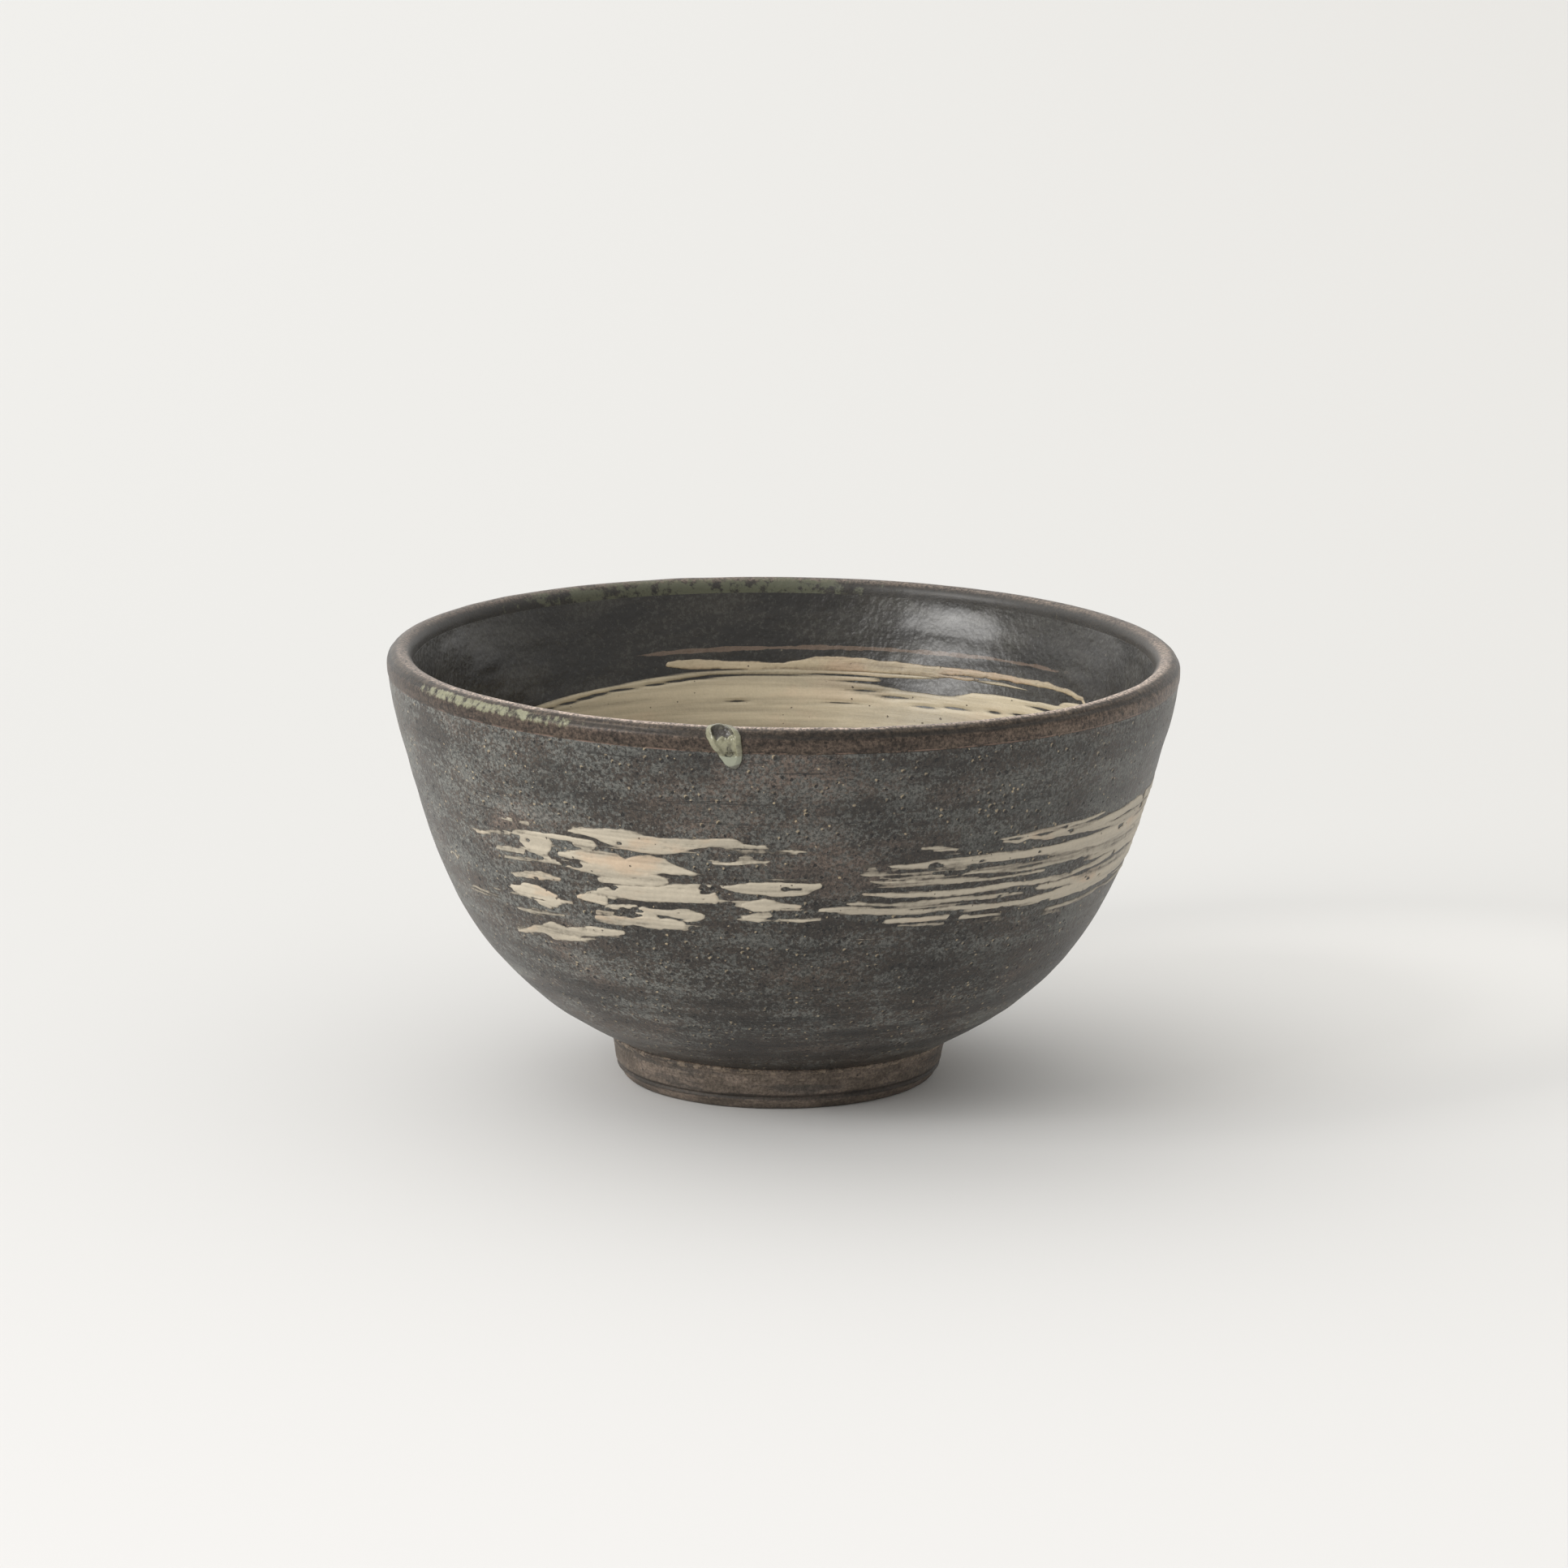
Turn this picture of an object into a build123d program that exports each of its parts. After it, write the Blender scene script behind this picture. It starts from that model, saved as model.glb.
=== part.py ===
"""Matcha bowl: a thrown stoneware bowl on a luted foot ring, under dark glaze and brushed slip.

Millimetres. +Z is up, the foot ring rests on Z = 0, and the origin lies under the middle of the mouth.
The thrown wall leans a little towards +X on its level foot, so the wall, its glaze and its slip are
drawn on WHEEL, a section plane whose Y axis is the wall's own leaning axis.
"""

from build123d import *
import math
import os

# Clay wall and floor: a half-section drawn from the foot joint up to the lip, and back down inside
wall_lean = 0.7  # degrees, towards +X
joint_height = 7.0  # where the floor of the wall meets the foot ring
bed_radius = 27.14
flare_angle = 31.0
flare_length = 9.2
belly_radius, belly_turn = 48.1, 32.0
shoulder_radius, shoulder_turn = 85.6, 11.0
side_length = 13.6
collar_radius, collar_turn = 47.6, 12.0
lip_thickness = 3.4
floor_thickness = 5.6
well_radius, well_turn = 90.0, 20.0
hollow_radius, hollow_turn = 36.0, 45.0

# Coats over the clay
glaze_thickness = 0.4
slip_thickness = 0.3
bare_clay_at_joint = 0.3
band_low_outside = 66.4  # the brown band on the lip starts here
band_low_inside = 69.0

# Foot ring
foot_radius = 26.4
foot_top_radius = 27.8
foot_hollow_radius = 21.8
foot_edge_radius = 1.2
foot_groove_height = 2.2
foot_groove_radius = 0.45

# Slip brushed on the outside, with azimuths counted from the front (-Y) towards +X
patch_from, patch_to = -60.0, 5.0
patch_low, patch_high = 32.0, 57.0
sweep_from, sweep_to = 6.0, 140.0
sweep_low, sweep_high = 37.5, 56.5

# Slip brushed on the inside
whirl_high = 56.0
stroke_from, stroke_to = 112.0, 206.0
stroke_low, stroke_high = 57.0, 59.2

# Bead of pale glaze run down over the lip
drop_azimuth = -8.1
drop_width, drop_height = 6.2, 7.8
drop_middle = 67.6
drop_stand = 0.8

foot_lap = 1.0  # drawn past the joint, then cut to it
reach = 80.0  # beyond every piece

# Outlines, each outside the last: the bare clay, the clay under glaze, the glaze under slip, and
# the glaze under the bead
with BuildSketch() as clay:
    with BuildLine():
        bed = Line((0, joint_height), (bed_radius, joint_height))
        flare = PolarLine(bed @ 1, flare_length, flare_angle)
        belly = JernArc(flare @ 1, flare % 1, belly_radius, belly_turn)
        shoulder = JernArc(belly @ 1, belly % 1, shoulder_radius, shoulder_turn)
        side = PolarLine(shoulder @ 1, side_length, direction=shoulder % 1)
        collar = JernArc(side @ 1, side % 1, collar_radius, collar_turn)
        lip = ThreePointArc(
            collar @ 1,
            (collar @ 1) + Vector(-lip_thickness / 2, lip_thickness / 2),
            (collar @ 1) + Vector(-lip_thickness, 0),
        )
        well_floor = (0, joint_height + floor_thickness)
        well = JernArc(well_floor, (1, 0), well_radius, well_turn)
        hollow = JernArc(well @ 1, well % 1, hollow_radius, hollow_turn)
        Line(hollow @ 1, lip @ 1)
        Line(well_floor, bed @ 0)
    make_face()

with BuildSketch() as glazed:
    add(clay.sketch)
    offset(amount=glaze_thickness)

with BuildSketch() as slipped:
    add(clay.sketch)
    offset(amount=glaze_thickness + slip_thickness)

with BuildSketch() as beaded:
    add(clay.sketch)
    offset(amount=glaze_thickness + drop_stand)

# Placing: the wall leans about the foot's centre, which stands off to one side so that the middle of
# the mouth comes over the origin
mouth_level = (collar @ 1).Y
mouth_radius = (collar @ 1).X + glaze_thickness
lip_middle = (collar @ 1).X - lip_thickness / 2
lean = math.radians(wall_lean)
foot_centre = (-mouth_level * math.sin(lean), 0, 0)
FOOT = Plane(origin=foot_centre, x_dir=(1, 0, 0), z_dir=(0, -1, 0))
WHEEL = Plane(
    origin=foot_centre,
    x_dir=(math.cos(lean), 0, -math.sin(lean)),
    z_dir=(0, -1, 0),
)
FOOT_AXIS = Axis(FOOT.origin, FOOT.y_dir)
WHEEL_AXIS = Axis(WHEEL.origin, WHEEL.y_dir)
JOINT = Plane(origin=WHEEL.from_local_coords((0, joint_height)), z_dir=WHEEL.y_dir)
INSIDE, OUTSIDE = 0, -1


def section_at(azimuth):
    """The wheel's section plane, turned about the wall's axis to cut the wall at this azimuth."""
    turn = azimuth - 90
    return Plane(
        origin=WHEEL.origin,
        x_dir=WHEEL.x_dir.rotate(WHEEL_AXIS, turn),
        z_dir=WHEEL.z_dir.rotate(WHEEL_AXIS, turn),
    )


def layer(under, over, low, high, side):
    """Section of the layer between two outlines, from height low to high, on one side of the wall."""
    add(over.sketch)
    add(under.sketch, mode=Mode.SUBTRACT)
    with Locations((0, low)):
        Rectangle(reach, high - low, align=(Align.MIN, Align.MIN), mode=Mode.INTERSECT)
    add(faces().sort_by(Axis.X)[side], mode=Mode.REPLACE)


# The thrown wall and floor
with BuildPart() as clay_wall:
    with BuildSketch(WHEEL):
        add(clay.sketch)
    revolve(axis=WHEEL_AXIS)

# The foot ring stands level, and its top is cut to the lean of the wall
with BuildPart() as foot_ring:
    with BuildSketch(FOOT):
        with BuildLine():
            Polyline(
                (foot_hollow_radius, joint_height + foot_lap),
                (foot_hollow_radius, 0),
                (foot_radius, 0),
                (foot_top_radius, joint_height),
                (foot_top_radius, joint_height + foot_lap),
                close=True,
            )
        make_face()
        fillet(vertices().group_by(Axis.Y)[0], foot_edge_radius)
        groove_at = foot_radius + (foot_top_radius - foot_radius) * foot_groove_height / joint_height
        with Locations((groove_at, foot_groove_height)):
            Circle(foot_groove_radius, mode=Mode.SUBTRACT)
    revolve(axis=FOOT_AXIS)
    split(bisect_by=JOINT, keep=Keep.BOTTOM)

# The dark glaze outside and inside, and the brown band over the lip between them
with BuildPart() as outer_glaze:
    with BuildSketch(WHEEL):
        layer(clay, glazed, joint_height + bare_clay_at_joint, band_low_outside, OUTSIDE)
    revolve(axis=WHEEL_AXIS)

with BuildPart() as inner_glaze:
    with BuildSketch(WHEEL):
        layer(clay, glazed, joint_height + glaze_thickness, band_low_inside, INSIDE)
    revolve(axis=WHEEL_AXIS)

with BuildPart() as lip_glaze:
    with BuildSketch(WHEEL):
        add(glazed.sketch)
        add(clay.sketch, mode=Mode.SUBTRACT)
        Polygon(
            (lip_middle, band_low_outside),
            (reach, band_low_outside),
            (reach, reach),
            (0, reach),
            (0, band_low_inside),
            (lip_middle, band_low_inside),
            align=None,
            mode=Mode.INTERSECT,
        )
    revolve(axis=WHEEL_AXIS)

# Slip on the glaze outside: the broken patch on the left and the long sweep on the right
with BuildPart() as slip_patch:
    with BuildSketch(section_at(patch_from)):
        layer(glazed, slipped, patch_low, patch_high, OUTSIDE)
    revolve(axis=WHEEL_AXIS, revolution_arc=patch_to - patch_from)

with BuildPart() as slip_sweep:
    with BuildSketch(section_at(sweep_from)):
        layer(glazed, slipped, sweep_low, sweep_high, OUTSIDE)
    revolve(axis=WHEEL_AXIS, revolution_arc=sweep_to - sweep_from)

# Slip on the glaze inside: the whirl over the floor and lower wall, and one stroke above it
with BuildPart() as slip_whirl:
    with BuildSketch(WHEEL):
        layer(glazed, slipped, joint_height + glaze_thickness, whirl_high, INSIDE)
    revolve(axis=WHEEL_AXIS)

with BuildPart() as slip_stroke:
    with BuildSketch(section_at(stroke_from)):
        layer(glazed, slipped, stroke_low, stroke_high, INSIDE)
    revolve(axis=WHEEL_AXIS, revolution_arc=stroke_to - stroke_from)

# The bead is a thick tongue of glaze that lies against the lip, from its crest down over the band
with BuildPart() as lip_drop:
    half_turn = math.degrees(drop_width / 2 / mouth_radius)
    with BuildSketch(section_at(drop_azimuth - half_turn)):
        add(beaded.sketch)
        add(glazed.sketch, mode=Mode.SUBTRACT)
        with Locations((lip_middle, drop_middle)):
            Rectangle(reach, drop_height, align=(Align.MIN, Align.CENTER), mode=Mode.INTERSECT)
    revolve(axis=WHEEL_AXIS, revolution_arc=2 * half_turn)

pieces = {
    "clay_wall": clay_wall,
    "foot_ring": foot_ring,
    "outer_glaze": outer_glaze,
    "inner_glaze": inner_glaze,
    "lip_glaze": lip_glaze,
    "slip_patch": slip_patch,
    "slip_sweep": slip_sweep,
    "slip_whirl": slip_whirl,
    "slip_stroke": slip_stroke,
    "lip_drop": lip_drop,
}
os.makedirs("parts", exist_ok=True)
for name, piece in pieces.items():
    piece.part.label = name
    export_step(piece.part, f"parts/{name}.step")
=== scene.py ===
"""Matcha bowl: dark glaze, brushed slip, a bead of pale glaze on the lip and a luted foot ring.

Shapes are worked out in millimetres on the potter's wheel: radius from the wall's own axis, height up
it, and azimuth in degrees from the front (-Y) towards +X. stand() then leans them with the wall and
turns them into metres.
"""

import itertools
import math

import bpy
import numpy as np
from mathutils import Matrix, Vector


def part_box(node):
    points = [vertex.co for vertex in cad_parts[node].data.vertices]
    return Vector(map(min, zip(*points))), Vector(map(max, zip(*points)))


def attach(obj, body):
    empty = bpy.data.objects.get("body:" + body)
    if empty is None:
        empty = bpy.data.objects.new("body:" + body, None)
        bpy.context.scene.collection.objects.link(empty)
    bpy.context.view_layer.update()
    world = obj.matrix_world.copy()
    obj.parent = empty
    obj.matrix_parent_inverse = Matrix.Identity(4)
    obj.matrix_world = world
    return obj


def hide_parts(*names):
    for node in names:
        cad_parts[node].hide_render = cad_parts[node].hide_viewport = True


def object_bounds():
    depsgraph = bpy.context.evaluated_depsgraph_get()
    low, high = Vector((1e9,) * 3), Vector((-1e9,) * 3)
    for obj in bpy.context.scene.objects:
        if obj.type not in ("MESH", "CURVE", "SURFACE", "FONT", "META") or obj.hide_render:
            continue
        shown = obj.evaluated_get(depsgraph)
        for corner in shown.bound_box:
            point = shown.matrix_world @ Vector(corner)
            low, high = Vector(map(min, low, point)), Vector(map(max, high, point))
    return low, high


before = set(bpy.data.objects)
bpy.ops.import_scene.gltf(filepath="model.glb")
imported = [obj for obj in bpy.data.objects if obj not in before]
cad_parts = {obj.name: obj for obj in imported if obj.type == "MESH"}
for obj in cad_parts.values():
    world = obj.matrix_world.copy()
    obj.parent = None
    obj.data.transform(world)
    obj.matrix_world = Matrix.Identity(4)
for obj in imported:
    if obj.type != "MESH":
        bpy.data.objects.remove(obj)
cad_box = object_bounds()

# The thrown wall, as the section is drawn
JOINT_HEIGHT = 7.0
BED_RADIUS = 27.14
FLARE_ANGLE, FLARE_LENGTH = 31.0, 9.2
BELLY_RADIUS, BELLY_TURN = 48.1, 32.0
SHOULDER_RADIUS, SHOULDER_TURN = 85.6, 11.0
SIDE_LENGTH = 13.6
COLLAR_RADIUS, COLLAR_TURN = 47.6, 12.0
LIP_RADIUS = 1.7
HOLLOW_TOP = (51.09, 36.64)
HOLLOW_RADIUS, HOLLOW_TURN = 36.0, 45.0
WELL_RADIUS, WELL_TURN = 90.0, 20.0
GLAZE_THICKNESS = 0.4
BARE_AT_JOINT = 0.3
BAND_LOW_OUTSIDE, BAND_LOW_INSIDE = 66.4, 69.0

# Coats over the clay
MIDDLE_RADIUS = 62.0  # a degree of azimuth is reckoned here when slip is laid out
SUNK = 0.14  # how far a coat's face dips under the glaze where there is no coat
FULLEST = 0.24  # the thickest that brushed slip lies
GLAZE_BACKING = 0.34  # how far the back of a glaze lies behind its face
END_STEP = 0.03  # a short step at a glaze's cut edge keeps its shading flat up to the edge

# The bead on the lip, and the foot ring
BEAD_AZIMUTH = -8.1
FOOT_HOLLOW_RADIUS = 21.8
FOOT_EDGE_RADIUS, FOOT_SIDE_TURN = 1.2, 78.7
FOOT_TREAD = 1.95
FOOT_TOP = 7.25

LEAN = math.radians(0.7)
foot_low, foot_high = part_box("foot_ring")
FOOT_MIDDLE = np.array([(foot_low.x + foot_high.x) / 2, (foot_low.y + foot_high.y) / 2, foot_low.z])

# The studio
WINDOW_FROM, SKYLIGHT_FROM = (-0.77, -0.43, 0.58), (-0.40, 0.45, 0.85)
WINDOW_COLOUR, SKYLIGHT_COLOUR = (1.0, 0.985, 0.965), (1.0, 0.99, 0.98)
FLOOR_SIZE = 24.0
FLOOR_GAP = 0.00002
CAMERA_LENS, CAMERA_SENSOR = 153.2, 36.0
CAMERA_DISTANCE, CAMERA_RISE, CAMERA_AIM = 1.1, math.radians(12.48), 0.04853

FINE = 1  # how much coarser the grids are made


# Random surfaces, the same on every run


def scatter(cells, seed):
    """A repeatable random number from -1 to 1 for each whole-numbered cell."""
    mixed = (cells * (73856093, 19349663, 83492791)).sum(-1) + seed * 26544357
    mixed = ((mixed ^ (mixed >> 13)) * 1274126177) & 0xFFFFFFFF
    return ((mixed ^ (mixed >> 15)) & 0xFFFF) / 32767.5 - 1


def lumps(spots, size, seed):
    """Smooth random values, from -1 to 1, in lumps of this size."""
    spots = np.asarray(spots) / size
    low = np.floor(spots).astype(np.int64)
    part = spots - low
    part = part * part * (3 - 2 * part)
    total = 0
    for corner in itertools.product((0, 1), repeat=3):
        weight = np.prod(np.where(corner, part, 1 - part), axis=-1)
        total = total + weight * scatter(low + corner, seed)
    return total


def crumbs(spots, size, seed, layers=3):
    """Lumps with smaller lumps on them."""
    return sum(lumps(spots, size / 2**n, seed + n) / 1.6**n for n in range(layers))


def ramp(values, low, high):
    """0 below low, 1 above high, and a smooth slope between."""
    share = np.clip((values - low) / (high - low), 0, 1)
    return share * share * (3 - 2 * share)


# The section of the glazed surface, from the foot joint up over the lip and down to the well


class Pen:
    """Draws a section in short steps, forward and round arcs, as a list of points."""

    STEP = 0.05

    def __init__(self, radius, height, heading):
        self.radius, self.height, self.heading = radius, height, heading
        self.points = [(radius, height)]

    def go(self, length, turn=0.0):
        steps = max(1, round(length / self.STEP))
        for _ in range(steps):
            self.heading += turn / steps / 2
            self.radius += length / steps * math.cos(math.radians(self.heading))
            self.height += length / steps * math.sin(math.radians(self.heading))
            self.heading += turn / steps / 2
            self.points.append((self.radius, self.height))

    def arc(self, radius, turn):
        self.go(radius * math.radians(abs(turn)), turn)

    def line_to(self, radius, height):
        self.heading = math.degrees(math.atan2(height - self.height, radius - self.radius))
        self.go(math.hypot(radius - self.radius, height - self.height))


def draw_clay():
    """The clay's outline as the wheel and the rib leave it."""
    pen = Pen(BED_RADIUS, JOINT_HEIGHT, FLARE_ANGLE)
    pen.go(FLARE_LENGTH)
    pen.arc(BELLY_RADIUS, BELLY_TURN)
    pen.arc(SHOULDER_RADIUS, SHOULDER_TURN)
    pen.go(SIDE_LENGTH)
    pen.arc(COLLAR_RADIUS, COLLAR_TURN)
    pen.heading = 90.0
    pen.arc(LIP_RADIUS, 180.0)
    pen.line_to(*HOLLOW_TOP)
    pen.heading = 180.0 + WELL_TURN + HOLLOW_TURN
    pen.arc(HOLLOW_RADIUS, -HOLLOW_TURN)
    pen.arc(WELL_RADIUS, -WELL_TURN)
    return np.array(pen.points)


def soften(values, reach):
    """Rounds the corners of a drawn line over this many points."""
    weights = np.exp(-0.5 * (np.arange(-3 * reach, 3 * reach + 1) / reach) ** 2)
    padded = np.pad(values, 3 * reach, mode="reflect", reflect_type="odd")
    return np.convolve(padded, weights / weights.sum(), mode="valid")


class Section:
    """A surface's section: radius, height and outward normal at each distance along it."""

    def __init__(self, clay, coat):
        radius, height = soften(clay[:, 0], 9), soften(clay[:, 1], 9)
        across, up = np.gradient(radius), np.gradient(height)
        length = np.hypot(across, up)
        self.normal_out, self.normal_up = up / length, -across / length
        self.radius = radius + coat * self.normal_out
        self.height = height + coat * self.normal_up
        steps = np.hypot(np.diff(self.radius), np.diff(self.height))
        self.along = np.concatenate([[0], np.cumsum(steps)])
        self.crest = self.along[np.argmax(self.height)]
        self.end = self.along[-1]

    def at(self, along):
        return [np.interp(along, self.along, line) for line in
                (self.radius, self.height, self.normal_out, self.normal_up)]

    def outside(self, height):
        """How far along the section the outside reaches this height."""
        top = np.argmax(self.height)
        return np.interp(height, self.height[:top], self.along[:top])

    def inside(self, height):
        """How far along the section the inside comes down to this height."""
        top = np.argmax(self.height)
        return np.interp(height, self.height[:top:-1], self.along[:top:-1])


clay_line = draw_clay()
glazed = Section(clay_line, GLAZE_THICKNESS)
CREST = glazed.crest


def stand(radius, height, azimuth, leaning=True):
    """Points on the wheel, in millimetres, to the row frame, in metres."""
    turn = np.radians(azimuth)
    across, back = radius * np.sin(turn), -radius * np.cos(turn)
    up = height + np.zeros_like(across)
    if leaning:
        across, up = (across * math.cos(LEAN) + up * math.sin(LEAN),
                      up * math.cos(LEAN) - across * math.sin(LEAN))
    return np.stack([across, back, up], -1) / 1000 + FOOT_MIDDLE


def on_wheel(radius, height, azimuth):
    """Points on the wheel in millimetres, for random surfaces."""
    turn = np.radians(azimuth)
    return np.stack([radius * np.sin(turn), -radius * np.cos(turn), height + 0 * turn], -1)


def glaze_relief(along, azimuth):
    """How far the thrown and glazed surface stands off its section, in millimetres."""
    radius, height, _, _ = glazed.at(along)
    spots = on_wheel(radius, height, azimuth)
    drawn, less_drawn = spots * (0.10, 0.10, 1.0), spots * (0.20, 0.20, 1.0)
    outside = 1 - ramp(along, CREST - 1.0, CREST + 1.5)
    sway = 0.16 * lumps(spots, 38, 1) + 0.07 * lumps(spots, 15, 2)
    ring_depth = 0.06 + 0.10 * ramp(-height, -40, -20)  # deeper towards the foot
    rings = ring_depth * lumps(drawn, 3.4, 3) + 0.035 * lumps(less_drawn, 1.5, 4)
    skin = 0.016 * lumps(spots, 2.2, 5) + 0.010 * lumps(spots, 1.1, 6)
    inner_rings = 0.10 * lumps(drawn, 4.2, 7) + 0.05 * lumps(less_drawn, 2.0, 8)
    hammered = 0.045 * lumps(spots, 2.6, 9)
    near_lip = ramp(-np.abs(along - CREST), -2.6, -0.4)
    under = along - CREST
    waver = 0.35 * lumps(spots, 9, 10)
    groove = -0.10 * np.exp(-((under + 2.15 + waver) / 0.38) ** 2)
    roll = 0.10 * ramp(under, -4.95 + 0.5 * waver, -4.65 + 0.5 * waver) * ramp(-under, 1.0, 3.0)
    uneven = 0.06 * lumps(spots, 6, 11)
    thrown = outside * (rings + skin) + (1 - outside) * (inner_rings + hammered)
    return sway + thrown * (1 - 0.75 * near_lip) + groove + roll + near_lip * uneven


def surface(along, azimuth, stand_off=0.0, relief=True):
    """Points of the glazed surface in metres, stood off along its normal."""
    radius, height, out, up = glazed.at(along)
    lift = stand_off + (glaze_relief(along, azimuth) if relief else 0.0)
    return stand(radius + lift * out, height + lift * up, azimuth)


# Meshes


def build_mesh(name, points, quads, triangles, numbers, flat_map):
    """A smooth-shaded mesh from plain arrays, with numbers or vectors kept at its points and a flat
    map of its corners."""
    mesh = bpy.data.meshes.new(name)
    faces = [tuple(face) for face in quads] + [tuple(face) for face in triangles]
    mesh.from_pydata([tuple(point) for point in points], [], faces)
    mesh.polygons.foreach_set("use_smooth", np.ones(len(faces), bool))
    for key, values in (numbers or {}).items():
        kind, field = ("FLOAT_VECTOR", "vector") if values.ndim == 2 else ("FLOAT", "value")
        layer = mesh.attributes.new(key, kind, "POINT")
        layer.data.foreach_set(field, values.astype(np.float32).ravel())
    mesh.uv_layers.new(name="OFBake").data.foreach_set("uv", flat_map.astype(np.float32).ravel())
    mesh.update()
    piece = bpy.data.objects.new(name, mesh)
    bpy.context.scene.collection.objects.link(piece)
    return piece


def map_rows(shares, columns, strips, looped, caps):
    """Where each corner lies on the flat map: the turning is cut into strips laid one over another.
    caps is how many corners each closing fan has."""
    rows = len(shares)
    last = rows if looped else rows - 1
    row, column = np.meshgrid(np.arange(last), np.arange(columns), indexing="ij")
    per_strip = columns / strips
    strip = np.floor(column / per_strip)
    ends = np.append(shares, 1.0)
    corners = []
    for row_step, column_step in ((0, 0), (0, 1), (1, 1), (1, 0)):
        across = (column + column_step) / per_strip - strip
        up = (strip + 0.003 + 0.994 * ends[row + row_step]) / strips
        corners.append(np.stack([0.002 + 0.996 * across, up], -1))
    flat_map = np.stack(corners, 2).reshape(-1, 2)
    first_cap, last_cap = (np.tile(flat_map[end], (caps, 1)) for end in (0, -1))
    return np.vstack([flat_map, first_cap, last_cap])


def turn_rows(name, rows, shares, strips=1, numbers=None, looped=True, flipped=False):
    """A turned piece from rows of points round the wheel. looped joins the last row to the first;
    otherwise each end is closed with a fan about its middle. flipped turns the faces the other way."""
    count, columns = rows.shape[:2]
    last = count if looped else count - 1
    row, column = np.meshgrid(np.arange(last), np.arange(columns), indexing="ij")
    next_row, next_column = (row + 1) % count, (column + 1) % columns
    quads = np.stack([row * columns + column, row * columns + next_column,
                      next_row * columns + next_column, next_row * columns + column], -1).reshape(-1, 4)
    points = rows.reshape(-1, 3)
    triangles = np.empty((0, 3), int)
    if not looped:
        middle = len(points)  # the fans' two middles are the last points
        points = np.vstack([points, rows[0].mean(0), rows[-1].mean(0)])
        here = np.arange(columns)
        there = (here + 1) % columns
        base = (count - 1) * columns
        triangles = np.vstack([
            np.stack([there, here, np.full(columns, middle)], -1),
            np.stack([base + here, base + there, np.full(columns, middle + 1)], -1)])
        numbers = {key: np.concatenate([v, v[:1], v[-1:]]) for key, v in (numbers or {}).items()}
    flat_map = map_rows(shares, columns, strips, looped, 0 if looped else 3 * columns)
    if flipped:
        corners = len(quads) * 4
        flat_map[:corners] = flat_map[:corners].reshape(-1, 4, 2)[:, ::-1].reshape(-1, 2)
        quads, triangles = quads[:, ::-1], triangles[:, ::-1]
    return build_mesh(name, points, quads, triangles, numbers, flat_map)


def glaze_shell(name, start, finish, rows, columns, strips, back_rows=14, poled=False, marks=None):
    """A coat of glaze on the clay between two distances along the section: a finely modelled face
    over a plainer back. poled closes finish with a fan and spaces the rows a little wider there. marks
    are shares worked out from rise past the crest and azimuth, and kept."""
    azimuth = np.arange(columns) * 360 / columns + 180
    if poled:
        front = finish + (start - finish) * np.linspace(0, 1, rows) ** 0.92
    else:
        front = np.linspace(start, finish, rows)
    end_step = END_STEP * np.sign(front[1] - front[0])
    front = np.insert(front, [1, rows - 1], [front[0] + end_step, front[-1] - end_step])
    back = np.linspace(front[-1], front[0], back_rows)
    face = surface(front[:, None], azimuth[None, :])
    behind = surface(back[:, None], azimuth[None, :], -GLAZE_BACKING, relief=False)
    rise, turned = np.meshgrid(np.concatenate([front, back]) - CREST, azimuth % 360, indexing="ij")
    kept = {"rise": rise.ravel()}
    for key, share in (marks or {}).items():
        kept[key] = share(rise, turned).ravel()
    shares = np.concatenate([np.linspace(0, 0.94, rows + 2), np.linspace(0.95, 0.995, back_rows)])
    return turn_rows(name, np.concatenate([face, behind]), shares, strips, kept, not poled, flipped=poled)


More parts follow.
